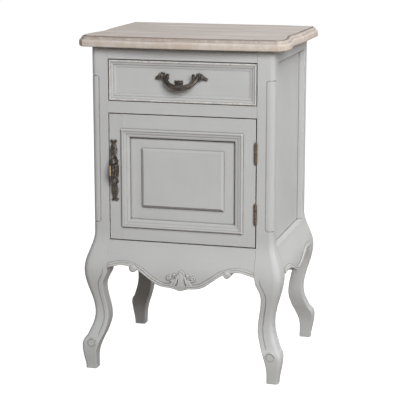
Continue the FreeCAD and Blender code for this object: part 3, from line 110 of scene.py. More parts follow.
# Apron shell: leaf (height, half width) and the roll over it (x, height, stand, radius). Then on each side
# the strands (x, height, half width), which are ridge, inner frond, outer frond and two stems, and the curls
# (x, height, radius, turns, thickness)
SHELL_MIDDLE = 3.0
SHELL_LEAF = (
    (222.0, 3.0), (214.0, 4.0), (206.0, 5.0), (199.0, 6.6), (194.0, 9.0), (190.5, 11.2), (186.5, 6.5),
    (183.4, 1.5),
)
SHELL_LEAF_STAND = 0.3
SHELL_LEAF_HALF_DEPTH = 1.4
SHELL_ROLL = (
    (-4.6, 219.5, 0.8, 1.2), (-2.4, 223.6, 1.3, 1.6), (2.6, 224.2, 1.5, 1.7), (6.4, 220.5, 1.2, 1.5),
    (7.2, 217.0, 0.6, 1.0),
)
SHELL_STRANDS = (
    ((4.0, 220.0, 1.0), (4.8, 208.0, 1.2), (6.0, 199.0, 1.2), (10.0, 190.8, 1.0)),
    ((6.5, 217.5, 1.2), (9.0, 209.0, 2.4), (13.0, 199.0, 3.1), (20.5, 188.4, 1.5)),
    ((13.5, 209.0, 1.0), (16.0, 203.5, 2.0), (21.0, 197.0, 2.5), (28.5, 191.2, 1.2)),
    ((23.5, 205.0, 1.6), (20.0, 204.0, 1.8), (16.5, 206.5, 1.2)),
    ((12.6, 213.3, 1.3), (10.4, 211.5, 1.5), (8.6, 207.5, 1.0)),
)
SHELL_CURLS = ((24.5, 210.5, 5.6, 1.35, 1.6), (13.2, 216.8, 3.6, 1.1, 1.3))
CURL_STOPS = 14
CURL_START = -100.0
CURL_TIGHTENS = 0.78
CURL_THINS = 0.35
CURL_STAND = 0.8
CURL_LIFT = 1.0
CURL_EYE_STAND = 1.4
CURL_EYE_RADII = (1.7, 1.8, 1.7)

# Drawer pull, right half: x, out from the drawer's field, rise over the feet, half width, half depth
FIELD_Y = -153.25
PULL_Z = 617.25
PULL_BOW = (
    (33.0, 10.0, 2.0, 4.6, 4.6), (30.0, 14.5, -3.5, 4.7, 4.4), (25.5, 18.0, -8.5, 4.6, 4.2),
    (19.0, 21.0, -12.8, 4.7, 4.2), (11.0, 23.0, -15.6, 5.2, 4.4), (4.0, 23.8, -16.6, 5.8, 4.6),
)
PULL_STEM = ((33.0, 0.0, 0.0, 5.6, 5.6), (33.0, 4.0, 0.0, 4.2, 4.2), (33.0, 10.5, 1.5, 5.0, 5.0))
PULL_LEAF = (
    (32.0, 10.0, 1.0, 4.2, 4.0), (37.5, 9.5, 5.0, 5.0, 3.6), (43.5, 8.0, 4.0, 4.4, 3.0),
    (49.0, 6.0, 1.2, 3.2, 2.4), (53.0, 5.0, -0.2, 2.6, 2.2), (54.4, 4.8, -0.4, 1.2, 1.2),
)
PULL_LEAF_TWIST = 1.2
PULL_CURL = (
    (29.5, 14.5, -4.0, 2.4, 2.4), (26.6, 14.0, 1.5, 2.5, 2.5), (26.0, 13.0, 6.5, 2.6, 2.6),
    (28.0, 12.4, 9.0, 2.2, 2.2),
)
PULL_CURL_EYE = (26.6, 13.4, 7.2)
PULL_CURL_EYE_RADII = (3.6, 3.2, 3.4)

# Crests along the pull's leaf (x, rise, radius), each with a rib up to it, then the crown on the bow with
# its rim, knobs and flutes
PULL_CRESTS = ((34.5, 9.6, 2.7), (39.0, 10.4, 2.6), (43.0, 9.0, 2.3))
PULL_CREST_OUT = 10.5
PULL_CREST_HALF_DEPTH = 2.4
PULL_RIB = ((-1.0, 11.5, -1.0, 1.2, 1.4), (0.0, 12.5, 4.5, 1.5, 1.7))
PULL_RIB_TIP_OUT = 11.0
PULL_RIB_TIP_SECTION = (1.2, 1.4)
PULL_CROWN = ((0.0, 23.6, -16.0, 8.0, 3.4), (0.0, 24.2, -10.0, 8.2, 3.6), (0.0, 24.6, -5.4, 8.8, 3.6))
PULL_RIM = (
    (-9.2, 24.4, -5.8, 1.6, 2.6), (-4.6, 26.0, -4.8, 2.2, 3.2), (0.0, 26.4, -4.4, 2.4, 3.4),
    (4.6, 26.0, -4.8, 2.2, 3.2), (9.2, 24.4, -5.8, 1.6, 2.6),
)
PULL_CROWN_KNOBS = ((-6.4, 26.0, -3.0), (0.0, 26.0, -3.0), (6.4, 26.0, -3.0))
PULL_CROWN_KNOB_RADII = (2.7, 2.8, 2.3)
PULL_FLUTES = (-7.5, -4.5, -1.5, 1.5, 4.5, 7.5)
PULL_FLUTE = ((0.8, 27.2, -11.5, 1.0, 1.0), (1.25, 28.2, -15.0, 1.1, 1.0), (1.6, 27.8, -18.0, 0.8, 0.8))

# Door pull: middle between its feet, and the barrel held off the door
GRIP_X = -140.75
GRIP_Z = 425.0
GRIP_REACH = 17.0
GRIP_FOOT_RISE = 42.0
BARREL_X = GRIP_X + 3.5
BARREL_Y = FRONT_Y - GRIP_REACH
BARREL_Z = GRIP_Z + 2.0

# Barrel (rise, half width, half depth), its two columns of buds (x, rises), collar and painted glint strip
BARREL_SHAPE = ((-13.5, 5.0, 5.0), (-12.0, 8.2, 7.4), (0.0, 9.0, 8.2), (12.0, 8.2, 7.4), (13.5, 5.0, 5.0))
BARREL_BUDS = ((-1.8, (-8.0, 0.5, 8.5)), (4.4, (-9.0, -3.5, 3.5, 9.0)))
BARREL_BUD_OUT = 7.2
BARREL_BUD_RADII = (2.7, 2.4, 3.0)
BARREL_COLLAR = ((-8.4, 4.0, 1.3, 2.2), (0.0, 6.4, 1.6, 2.6), (8.4, 4.0, 1.3, 2.2))
BARREL_COLLAR_RISE = 12.2
GLINT_STRIP = (
    (-6.6, -11.0, 1.5, 1.6), (-7.6, -8.5, 2.0, 1.9), (-7.8, 0.0, 2.1, 2.0), (-7.6, 8.5, 2.0, 1.9),
    (-6.6, 11.0, 1.5, 1.6),
)
GLINT_STRIP_OUT = 5.2

# Leaf over each foot (rise, half width, half depth, out) with the curls of its tip (spread, lift). Each curl
# has a root (rise, out, section), a bend (share of the spread, short of the lift, out, section) and an eye.
# Arms run from the leaf to the barrel (x, swing to each hand, out, drop from the foot, radius)
LEAF_LEAN = (-1.4, -1.1)
LEAF_SHAPE = (
    (-16.0, 3.2, 3.0, 7.6), (-11.5, 5.0, 3.8, 6.4), (-7.8, 5.6, 4.2, 5.6), (-0.8, 6.2, 4.6, 5.2),
    (5.0, 5.6, 4.2, 4.8), (11.5, 4.2, 3.2, 4.2), (15.0, 2.0, 2.2, 3.6),
)
LEAF_STRANDS = 8
LEAF_TWIST = 26.0
LEAF_CURLS = ((6.4, 18.0), (4.4, 20.4))
LEAF_CURL_ROOT = (13.6, 3.4, 1.6, 1.8)
LEAF_CURL_BEND = (0.45, 1.6, 3.8, 1.4, 1.6)
LEAF_CURL_EYE_OUT = 3.6
LEAF_CURL_EYE_SECTION = (1.2, 1.4)
LEAF_CURL_EYE_RADII = (1.5, 1.6, 1.4)
FOOT_SHAPE = ((0.0, 3.6), (4.0, 3.4))
FOOT_CAP_OUT = 5.4
FOOT_CAP_RADII = (3.2, 3.8, 4.0)
ARM_SHAPE = (
    (-0.8, 1.8, 8.0, 12.5, 2.6), (0.4, 5.0, 10.5, 17.5, 2.5), (1.6, 6.2, 13.5, 22.0, 2.5),
    (2.7, 5.0, 16.5, 27.0, 2.8), (3.5, 2.0, 17.0, 30.0, 3.0),
)
ARM_TWIST = 14.0
ARM_BUD = (1.4, 7.6, 12.5, 20.5)
ARM_BUD_RADII = (2.0, 2.2, 2.6)

# Fineness of the skin on castings, the painted glint strip, carvings and beads
CASTING_SKIN = 0.40
GLINT_STRIP_SKIN = 0.35
CARVING_SKIN = 0.45
BEAD_SKIN = 0.50

# Finishes, as linear colours
WHITE = (1.0, 1.0, 1.0, 1.0)
PAINT_GREY = (0.482, 0.488, 0.488, 1.0)
PAINT_DEEP = (0.422, 0.425, 0.422, 1.0)
PAINT_CHALK = (0.560, 0.560, 0.554, 1.0)
PAINT_TAN = (0.520, 0.430, 0.330, 1.0)
PAINT_WORN = (0.740, 0.730, 0.710, 1.0)
# Dark of grime, and of painted shade and shadow in corners, under steps and on unlit faces
PAINT_GRIME_AND_SHADE = (0.110, 0.098, 0.086, 1.0)
LIMED_BASE = (0.520, 0.470, 0.430, 1.0)
LIMED_ROSE = (0.450, 0.400, 0.375, 1.0)
LIMED_DARK = (0.265, 0.220, 0.205, 1.0)
LIMED_WHITE = (0.660, 0.630, 0.605, 1.0)
LIMED_PEACH = (0.520, 0.438, 0.366, 1.0)
LIMED_EDGE = (0.585, 0.530, 0.480, 1.0)
LIMED_DARKENING = (0.200, 0.160, 0.140, 1.0)
RAW_LIGHT = (0.600, 0.450, 0.290, 1.0)
RAW_DARK = (0.420, 0.280, 0.160, 1.0)
PLY_LIGHT = (0.620, 0.480, 0.320, 1.0)
PLY_DARK = (0.470, 0.330, 0.200, 1.0)
BRONZE_DARK = (0.040, 0.036, 0.032, 1.0)
BRONZE_BROWN = (0.130, 0.106, 0.086, 1.0)
BRONZE_BRASS = (0.520, 0.430, 0.310, 1.0)
BRASS_GLINT = (0.460, 0.335, 0.150, 1.0)
HINGE_BROWN = (0.205, 0.152, 0.110, 1.0)
HINGE_DARK = (0.088, 0.065, 0.048, 1.0)
STEEL_GREY = (0.560, 0.560, 0.550, 1.0)
STEEL_DULL = (0.300, 0.300, 0.300, 1.0)
CATCH_BROWN = (0.200, 0.120, 0.070, 1.0)
CATCH_LIGHT = (0.270, 0.170, 0.110, 1.0)
FLOOR_PALE = (0.300, 0.275, 0.255, 1.0)

# Wear and painted shade on the paint: reach of the sanding, then how full the bare edges, the grime and
# painted shade in corners, the painted shadow under steps and the painted shade on faces away from light are
BOARD_WEAR_AND_SHADE = {"reach": 3.5, "wear": 0.38, "grime_and_shade": 0.45, "ledge_shadow": 0.60, "shaded_side": 0.0}
LEG_WEAR_AND_SHADE = {"reach": 3.5, "wear": 0.38, "grime_and_shade": 0.25, "ledge_shadow": 0.10, "shaded_side": 0.0}
DRAWER_WEAR_AND_SHADE = {"reach": 5.5, "wear": 1.50, "grime_and_shade": 0.60, "ledge_shadow": 0.50, "shaded_side": 0.0}
LEVEL_MOULDING_WEAR_AND_SHADE = {"reach": 3.0, "wear": 0.85, "grime_and_shade": 0.40, "ledge_shadow": 0.30, "shaded_side": 0.35}
UPRIGHT_MOULDING_WEAR_AND_SHADE = {"reach": 3.0, "wear": 0.85, "grime_and_shade": 0.40, "ledge_shadow": 0.30, "shaded_side": 0.15}
PANEL_WEAR_AND_SHADE = {"reach": 3.0, "wear": 0.85, "grime_and_shade": 0.25, "ledge_shadow": 0.90, "shaded_side": 0.65}
CARVED_WEAR_AND_SHADE = {"reach": 3.5, "wear": 0.25, "grime_and_shade": 0.14, "ledge_shadow": 0.08, "shaded_side": 0.0}

# Turns that lay the length of a board along X before strokes or grain are drawn
LENGTH_TURN = {
    "x": (0.0, 0.0, 0.0),
    "y": (0.0, 0.0, -math.pi / 2),
    "z": (0.0, math.pi / 2, 0.0),
}


class Graph:
    """The nodes of one material or one shared effect"""

    def __init__(self, tree):
        self.tree = tree

    def node(self, kind, **settings):
        made = self.tree.nodes.new("ShaderNode" + kind)
        for name, value in settings.items():
            setattr(made, name, value)
        return made

    def put(self, socket, value):
        if isinstance(value, bpy.types.NodeSocket):
            self.tree.links.new(value, socket)
        else:
            socket.default_value = value

    def fill(self, sockets, values):
        for name, value in values.items():
            self.put(sockets[name], value)

    def math(self, operation, first, second=0.0, clamp=False):
        step = self.node("Math", operation=operation, use_clamp=clamp)
        self.put(step.inputs[0], first)
        self.put(step.inputs[1], second)
        return step.outputs[0]

    def spread(self, value, low, high, first=0.0, last=1.0):
        # Smooth step of a value from one range to another
        step = self.node("MapRange", interpolation_type="SMOOTHSTEP")
        self.fill(step.inputs, {"Value": value, "From Min": low, "From Max": high,
                                "To Min": first, "To Max": last})
        return step.outputs["Result"]

    def blend(self, share, first, second):
        step = self.node("Mix", data_type="RGBA")
        self.put(step.inputs[0], share)
        self.put(step.inputs[6], first)
        self.put(step.inputs[7], second)
        return step.outputs[2]

    def tint(self, colour, other, mask, share):
        # Brings another colour in where the mask is, up to a share of it
        return self.blend(self.math("MULTIPLY", mask, share, clamp=True), colour, other)

    def noise(self, where, scale, detail=4.0, roughness=0.6, distortion=0.0):
        cloud = self.node("TexNoise")
        self.fill(cloud.inputs, {"Vector": where, "Scale": scale, "Detail": detail,
                                 "Roughness": roughness, "Distortion": distortion})
        return cloud.outputs["Fac"]

    def drawn_out(self, where, share):
        # Place with its X shortened, so that noise on it runs out into lines along X
        step = self.node("Mapping")
        self.fill(step.inputs, {"Vector": where, "Scale": (share, 1.0, 1.0)})
        return step.outputs["Vector"]

    def along(self, axis):
        # Place on the piece, turned so that its length lies along X
        step = self.node("Mapping")
        self.fill(step.inputs, {"Vector": self.place(), "Rotation": LENGTH_TURN[axis]})
        return step.outputs["Vector"]

    def place(self):
        return self.node("TexCoord").outputs["Object"]

    def facing(self):
        return self.node("NewGeometry").outputs["Normal"]

    def split(self, vector):
        step = self.node("SeparateXYZ")
        self.put(step.inputs[0], vector)
        return step.outputs

    def closeness(self, reach, towards=None, **settings):
        # How much of the view from a point is shut in by what lies within reach
        probe = self.node("AmbientOcclusion", samples=6, **settings)
        self.put(probe.inputs["Distance"], reach)
        if towards is not None:
            self.put(probe.inputs["Normal"], towards)
        return self.math("SUBTRACT", 1.0, probe.outputs["AO"])

    def effect(self, group, **values):
        made = self.node("Group", node_tree=group)
        for name, value in values.items():
            self.put(made.inputs[name.replace("_", " ").title()], value)
        return made.outputs

    def bump(self, height, depth, strength, normal=None):
        step = self.node("Bump")
        self.fill(step.inputs, {"Height": height, "Distance": depth, "Strength": strength})
        if normal is not None:
            self.put(step.inputs["Normal"], normal)
        return step.outputs["Normal"]


def shared_effect(name, inputs, outputs):
    # Empty node group with named sockets: the group, its graph, what it is given and what it puts out
    group = bpy.data.node_groups.new(name, "ShaderNodeTree")
    for label, kind, value in inputs:
        socket = group.interface.new_socket(label, in_out="INPUT", socket_type="NodeSocket" + kind)
        if value is not None:
            socket.default_value = value
    for label, kind in outputs:
        group.interface.new_socket(label, in_out="OUTPUT", socket_type="NodeSocket" + kind)
    given = group.nodes.new("NodeGroupInput").outputs
    result = group.nodes.new("NodeGroupOutput").inputs
    return group, Graph(group), given, result


def edge_wear_and_shade_effect():
    # Ridge: worn outer edges. Hollow: grime and painted shade in inner corners. Ledge: painted shadow under
    # a step. Lee: painted shade on faces turned from the light. Normal: edges eased by hand sanding
    inputs = (("Width", "Float", 3.0 * MM), ("Hollow Width", "Float", 3.0 * MM),
              ("Ledge Width", "Float", 4.5 * MM), ("Easing", "Float", 1.0 * MM),
              ("Patch Scale", "Float", 60.0))
    outputs = (("Ridge", "Float"), ("Hollow", "Float"), ("Ledge", "Float"), ("Lee", "Float"),
               ("Normal", "Vector"))
    group, graph, given, result = shared_effect("edge_wear_and_shade", inputs, outputs)
    patches = graph.noise(graph.place(), given["Patch Scale"], detail=5.0, roughness=0.65)
    outer = graph.spread(graph.closeness(given["Width"], inside=True, only_local=True), 0.18, 0.55)
    ridge = graph.math("MULTIPLY", outer, graph.spread(patches, 0.30, 0.62), clamp=True)
    hollow = graph.spread(graph.closeness(given["Hollow Width"]), 0.05, 0.34)
    # Painted shadow: crowding sought towards the light, so what lies under and left of a step darkens
    ledge = graph.spread(graph.closeness(given["Ledge Width"], leaning_to_light(graph)), 0.14, 0.40)
    # Painted shade on the faces turned away from the light
    away = graph.node("VectorMath", operation="DOT_PRODUCT")
    graph.put(away.inputs[0], graph.facing())
    graph.put(away.inputs[1], PAINTED_LIGHT_FROM)
    shaded_side = graph.spread(away.outputs["Value"], -0.60, -0.10, first=1.0, last=0.0)
    eased = graph.node("Bevel", samples=4)
    graph.put(eased.inputs["Radius"], given["Easing"])
    graph.fill(result, {"Ridge": ridge, "Hollow": hollow, "Ledge": ledge, "Lee": shaded_side,
                        "Normal": eased.outputs["Normal"]})
    return group


def leaning_to_light(graph):
    # Direction out of the surface, leaning to where the light comes from, for the painted shadow under steps
    leaning = graph.node("VectorMath", operation="ADD")
    graph.put(leaning.inputs[0], graph.facing())
    graph.put(leaning.inputs[1], PAINTED_LIGHT_FROM * SHADOW_LEAN)
    unit = graph.node("VectorMath", operation="NORMALIZE")
    graph.put(unit.inputs[0], leaning.outputs[0])
    return unit.outputs[0]


def brush_effect():
    # Stroke: fine lines left by the brush along X of the given place. Cloud: thin and full patches of paint
    inputs = (("Place", "Vector", None), ("Lines", "Float", 420.0))
    outputs = (("Stroke", "Float"), ("Cloud", "Float"))
    group, graph, given, result = shared_effect("brush_strokes", inputs, outputs)
    fine = graph.noise(graph.drawn_out(given["Place"], 0.035), given["Lines"], detail=3.0)
    broad = graph.noise(graph.drawn_out(given["Place"], 0.12), 70.0, distortion=0.3)
    stroke = graph.math("ADD", graph.math("MULTIPLY", fine, 0.55), graph.math("MULTIPLY", broad, 0.45))
    graph.fill(result, {"Stroke": stroke, "Cloud": graph.noise(given["Place"], 9.0, detail=5.0)})
    return group


def timber_effect():
    # All run along X of the given place. Figure: slow bands of the year rings. Lines: fine grain lines.
    # Pores: short open pores
    inputs = (("Place", "Vector", None), ("Band Scale", "Float", 30.0), ("Line Scale", "Float", 260.0))
    outputs = (("Figure", "Float"), ("Lines", "Float"), ("Pores", "Float"))
    group, graph, given, result = shared_effect("timber_grain", inputs, outputs)
    slow = graph.drawn_out(given["Place"], 0.10)
    figure = graph.noise(slow, given["Band Scale"], detail=3.0, roughness=0.5, distortion=1.1)
    lines = graph.noise(graph.drawn_out(given["Place"], 0.022), given["Line Scale"], roughness=0.65)
    pores = graph.noise(graph.drawn_out(given["Place"], 0.05), 900.0, detail=2.0, roughness=0.5)
    graph.fill(result, {"Figure": figure, "Lines": lines, "Pores": graph.spread(pores, 0.58, 0.72)})
    return group


def patina_effect():
    # Tarnish: broad dark bloom on metal. Pits: fine casting or rolling texture
    inputs = (("Bloom Scale", "Float", 120.0), ("Pit Scale", "Float", 1400.0))
    outputs = (("Tarnish", "Float"), ("Pits", "Float"))
    group, graph, given, result = shared_effect("metal_patina", inputs, outputs)
    bloom = graph.noise(graph.place(), given["Bloom Scale"], detail=5.0, roughness=0.65, distortion=0.4)
    pits = graph.noise(graph.place(), given["Pit Scale"], detail=3.0)
    graph.fill(result, {"Tarnish": graph.spread(bloom, 0.34, 0.66), "Pits": pits})
    return group


WORN_AND_SHADED_EDGES = edge_wear_and_shade_effect()
BRUSHED = brush_effect()
TIMBER = timber_effect()
PATINA = patina_effect()


def new_finish(name):
    # Empty material with its shader: the material, its graph and the shader's sockets
    finish = bpy.data.materials.new(name)
    finish.use_nodes = True
    finish.node_tree.nodes.clear()
    graph = Graph(finish.node_tree)
    shader = graph.node("BsdfPrincipled")
    end = graph.node("OutputMaterial")
    graph.put(end.inputs["Surface"], shader.outputs["BSDF"])
    return finish, graph, shader.inputs


def painted_finish(name, length_axis, reach, wear, grime_and_shade, ledge_shadow, shaded_side):
    finish, graph, surface = new_finish(name + "_" + length_axis)
    brush = graph.effect(BRUSHED, place=graph.along(length_axis), lines=420.0)
    edges = graph.effect(WORN_AND_SHADED_EDGES, width=reach * MM, hollow_width=2.4 * MM, ledge_width=6.5 * MM,
                         easing=0.9 * MM, patch_scale=55.0)
    coat = graph.blend(graph.spread(brush["Cloud"], 0.35, 0.70, last=0.40), PAINT_GREY, PAINT_DEEP)
    coat = graph.blend(graph.spread(brush["Stroke"], 0.45, 0.75, last=0.20), coat, PAINT_CHALK)
    specks = graph.noise(graph.place(), 180.0, detail=3.0)
    bare = graph.blend(graph.spread(specks, 0.48, 0.66), PAINT_WORN, PAINT_TAN)
    coat = graph.tint(coat, bare, edges["Ridge"], wear)
    # Grime and painted shade in inner corners
    coat = graph.tint(coat, PAINT_GRIME_AND_SHADE, edges["Hollow"], grime_and_shade)
    # Painted shadow under steps, on the side away from the light
    coat = graph.tint(coat, PAINT_GRIME_AND_SHADE, edges["Ledge"], ledge_shadow)
    # Painted shade on the faces turned away from the light
    if shaded_side:
        coat = graph.tint(coat, PAINT_GRIME_AND_SHADE, edges["Lee"], shaded_side)
    graph.fill(surface, {
        "Base Color": coat,
        "Roughness": graph.spread(brush["Stroke"], 0.3, 0.7, first=0.62, last=0.76),
        "Specular IOR Level": 0.25,
        "Normal": graph.bump(brush["Stroke"], 0.25 * MM, 0.35, edges["Normal"]),
    })
    return finish


def limed_grain(graph, where, grain):
    # Rosy wood with dark streaks and grain lines, and white lime left between them and in the pores
    streaks = graph.noise(graph.drawn_out(where, 0.07), 62.0, detail=5.0, roughness=0.62, distortion=0.6)
    lime = graph.noise(graph.drawn_out(where, 0.05), 120.0, detail=5.0, roughness=0.7)
    wood = graph.blend(graph.spread(grain["Figure"], 0.36, 0.66), LIMED_BASE, LIMED_ROSE)
    wood = graph.blend(graph.spread(streaks, 0.50, 0.70, last=0.70), wood, LIMED_DARK)
    wood = graph.blend(graph.spread(grain["Lines"], 0.50, 0.70, last=0.55), wood, LIMED_DARK)
    wood = graph.blend(graph.spread(lime, 0.46, 0.66, last=0.75), wood, LIMED_WHITE)
    return graph.tint(wood, LIMED_WHITE, grain["Pores"], 0.35)


def edge_darkening(graph, where, blotches, sideways):
    # Darkening of the groove and of the upper round of the top's edge, none on the rim, less at the two ends
    over = graph.math("SUBTRACT", graph.split(where)["Z"], TOP_UNDER_Z * MM)
    height = graph.math("DIVIDE", over, TOP_THICKNESS * MM)
    patchy = graph.spread(blotches, 0.30, 0.70, first=0.75, last=0.35)
    around = graph.math("MULTIPLY", graph.spread(height, 0.58, 0.88), patchy)
    groove = graph.math("MAXIMUM", around, graph.spread(height, 0.86, 0.93, last=0.95))
    below_rim = graph.math("MULTIPLY", groove, graph.spread(height, 0.955, 0.985, first=1.0, last=0.0))
    return graph.math("MULTIPLY", below_rim, graph.spread(sideways, 0.25, 0.65, first=1.0, last=0.45))


def limed_top_finish():
    finish, graph, surface = new_finish("limed_top_boards")
    where = graph.place()
    grain = graph.effect(TIMBER, place=where, band_scale=34.0, line_scale=230.0)
    edges = graph.effect(WORN_AND_SHADED_EDGES, width=4.5 * MM, hollow_width=4.5 * MM, easing=0.6 * MM, patch_scale=45.0)
    facing = graph.split(graph.facing())
    squat = graph.node("Mapping")
    graph.fill(squat.inputs, {"Vector": where, "Scale": (1.0, 1.0, 0.6)})
    blotches = graph.noise(squat.outputs["Vector"], 55.0)
    edge = graph.blend(graph.spread(blotches, 0.40, 0.62), LIMED_PEACH, LIMED_EDGE)
    wood = limed_grain(graph, where, grain)
    wood = graph.tint(wood, edge, graph.spread(facing["Z"], 0.55, 0.90, first=1.0, last=0.0), 0.75)
    wood = graph.tint(wood, LIMED_WHITE, edges["Ridge"], 0.20)
    sideways = graph.math("ABSOLUTE", facing["X"])
    wood = graph.blend(edge_darkening(graph, where, blotches, sideways), wood, LIMED_DARKENING)
    graph.fill(surface, {
        # Darker in inner corners: stain gathered there and painted shade
        "Base Color": graph.tint(wood, LIMED_DARK, edges["Hollow"], 0.85),
        "Roughness": graph.spread(grain["Lines"], 0.3, 0.7, first=0.60, last=0.74),
        "Specular IOR Level": 0.22,
        "Normal": graph.bump(grain["Lines"], 0.4 * MM, 0.4, edges["Normal"]),
    })
    return finish


def timber_finish(name, length_axis, light, dark):
    finish, graph, surface = new_finish(name + "_" + length_axis)
    grain = graph.effect(TIMBER, place=graph.along(length_axis), band_scale=26.0, line_scale=210.0)
    edges = graph.effect(WORN_AND_SHADED_EDGES, width=3.0 * MM, easing=0.6 * MM, patch_scale=80.0)
    wood = graph.blend(graph.spread(grain["Figure"], 0.36, 0.68), light, dark)
    wood = graph.blend(graph.spread(grain["Lines"], 0.52, 0.75, last=0.35), wood, dark)
    wood = graph.tint(wood, dark, grain["Pores"], 0.30)
    graph.fill(surface, {
        # Painted shade in inner corners
        "Base Color": graph.tint(wood, dark, edges["Hollow"], 0.45),
        "Roughness": graph.spread(grain["Lines"], 0.3, 0.7, first=0.55, last=0.70),
        "Normal": graph.bump(grain["Lines"], 0.3 * MM, 0.4, edges["Normal"]),
    })
    return finish


def antique_bronze_finish():
    finish, graph, surface = new_finish("antique_bronze_casting")
    patina = graph.effect(PATINA, bloom_scale=140.0, pit_scale=1500.0)
    edges = graph.effect(WORN_AND_SHADED_EDGES, width=1.6 * MM, hollow_width=1.6 * MM, easing=0.3 * MM, patch_scale=160.0)
    body = graph.blend(patina["Tarnish"], BRONZE_BROWN, BRONZE_DARK)
    body = graph.tint(body, BRONZE_BRASS, edges["Ridge"], 0.70)
    graph.fill(surface, {
        "Base Color": graph.tint(body, BRONZE_DARK, edges["Hollow"], 0.85),
        "Metallic": 0.65,
        "Roughness": graph.spread(patina["Tarnish"], 0.0, 1.0, first=0.34, last=0.52),
        "Normal": graph.bump(patina["Pits"], 0.12 * MM, 0.35),
    })
    return finish


# Bright brass for the strip that paints in the reflection down the barrel's left edge
def glint_brass_finish():
    finish, graph, surface = new_finish("brass_glint_strip")
    patina = graph.effect(PATINA, bloom_scale=180.0, pit_scale=1500.0)
    graph.fill(surface, {
        "Base Color": graph.blend(patina["Tarnish"], BRASS_GLINT, BRONZE_BRASS),
        "Metallic": 0.9,
        "Roughness": graph.spread(patina["Tarnish"], 0.0, 1.0, first=0.28, last=0.45),
        "Normal": graph.bump(patina["Pits"], 0.08 * MM, 0.3),
    })
    return finish


def hinge_bronze_finish():
    finish, graph, surface = new_finish("hinge_bronze")
    patina = graph.effect(PATINA, bloom_scale=200.0, pit_scale=1800.0)
    edges = graph.effect(WORN_AND_SHADED_EDGES, width=1.2 * MM, easing=0.3 * MM, patch_scale=200.0)
    body = graph.blend(patina["Tarnish"], HINGE_BROWN, HINGE_DARK)
    graph.fill(surface, {
        "Base Color": graph.tint(body, BRONZE_BRASS, edges["Ridge"], 0.5),
        "Metallic": 0.75,
        "Roughness": graph.spread(patina["Tarnish"], 0.0, 1.0, first=0.38, last=0.55),
        "Normal": graph.bump(patina["Pits"], 0.08 * MM, 0.3, edges["Normal"]),
    })
    return finish


def steel_finish():
    finish, graph, surface = new_finish("zinc_steel")
    patina = graph.effect(PATINA, bloom_scale=260.0, pit_scale=2200.0)
    graph.fill(surface, {
        "Base Color": graph.blend(patina["Tarnish"], STEEL_GREY, STEEL_DULL),
        "Metallic": 0.9,
        "Roughness": graph.spread(patina["Tarnish"], 0.0, 1.0, first=0.30, last=0.48),
        "Normal": graph.bump(patina["Pits"], 0.05 * MM, 0.3),
    })
    return finish


def catch_finish():
    finish, graph, surface = new_finish("catch_brown_moulding")
    grit = graph.noise(graph.place(), 1600.0, detail=3.0)
    edges = graph.effect(WORN_AND_SHADED_EDGES, width=1.5 * MM, easing=0.5 * MM, patch_scale=200.0)
    body = graph.blend(graph.spread(grit, 0.35, 0.65), CATCH_BROWN, CATCH_LIGHT)
    graph.fill(surface, {
        "Base Color": graph.blend(edges["Ridge"], body, CATCH_LIGHT),
        "Roughness": graph.spread(grit, 0.3, 0.7, first=0.42, last=0.55),
        "Normal": graph.bump(grit, 0.06 * MM, 0.4, edges["Normal"]),
    })
    return finish


def smooth_run(stops, steps):
    # Smooth line through a few stops, all of whose sizes run along with it
    run = []
    last = len(stops) - 1
    for step in range(steps + 1):
        place = last * step / steps
        index = min(int(place), last - 1)
        t = place - index
        near = [stops[max(0, min(last, index + shift))] for shift in (-1, 0, 1, 2)]
        run.append(tuple(curve_value(t, *values) for values in zip(*near)))
    return run


def curve_value(t, a, b, c, d):
    # Value between b and c on the curve through four values
    bend = 2 * a - 5 * b + 4 * c - d
    swing = 3 * b - a - 3 * c + d
    return 0.5 * (2 * b + (c - a) * t + bend * t * t + swing * t ** 3)


def member(shells, stops, steps, sides, flutes=0, groove=0.0, twist=0.0, outward=OUTWARD):
    # Round member through stops of x, y, z, half width and half depth; flutes run along it, or wind round it
    # by the twist
    stations = smooth_run(stops, steps)
    centres = [Vector(station[:3]) for station in stations]
    rings = []
    for index, (*_, across, deep) in enumerate(stations):
        ahead = centres[min(index + 1, steps)] - centres[max(index - 1, 0)]
        side = ahead.cross(outward).normalized()
        face = side.cross(ahead).normalized()
        ring = []
        for spoke in range(sides):
            angle = 2 * math.pi * spoke / sides
            swell = 1 + groove * math.cos(flutes * angle + twist * index / steps)
            offset = side * (across * math.cos(angle)) + face * (deep * math.sin(angle))
            ring.append(shells.verts.new((centres[index] + offset * swell) * MM))
        rings.append(ring)
    for first, second in zip(rings, rings[1:]):
        for spoke in range(sides):
            after = (spoke + 1) % sides
            shells.faces.new((first[spoke], first[after], second[after], second[spoke]))
    shells.faces.new(rings[0][::-1])
    shells.faces.new(rings[-1])


def knob(shells, centre, radii):
    size = Matrix.Diagonal((*(radius * MM for radius in radii), 1.0))
    place = Matrix.Translation(Vector(centre) * MM)
    bmesh.ops.create_uvsphere(shells, u_segments=20, v_segments=12, radius=1.0, matrix=place @ size)


def melted_skin(name, shells, fineness):
    # Melts the members into one closed skin and smooths it as a casting or carving is
    bmesh.ops.recalc_face_normals(shells, faces=shells.faces)
    rough = bpy.data.meshes.new(name + "_rough")
    shells.to_mesh(rough)
    shells.free()
    blank = bpy.data.objects.new(name + "_blank", rough)
    scene.collection.objects.link(blank)
    melt = blank.modifiers.new("melt", "REMESH")
    melt.mode = "VOXEL"
    melt.voxel_size = fineness * MM
    soften = blank.modifiers.new("soften", "SMOOTH")
    soften.factor = 0.5
    soften.iterations = 2
    bpy.context.view_layer.update()
    seen = blank.evaluated_get(bpy.context.evaluated_depsgraph_get())
    mesh = bpy.data.meshes.new_from_object(seen)
    mesh.name = name
    bpy.data.objects.remove(blank)
    bpy.data.meshes.remove(rough)
    mesh.shade_smooth()
    return mesh


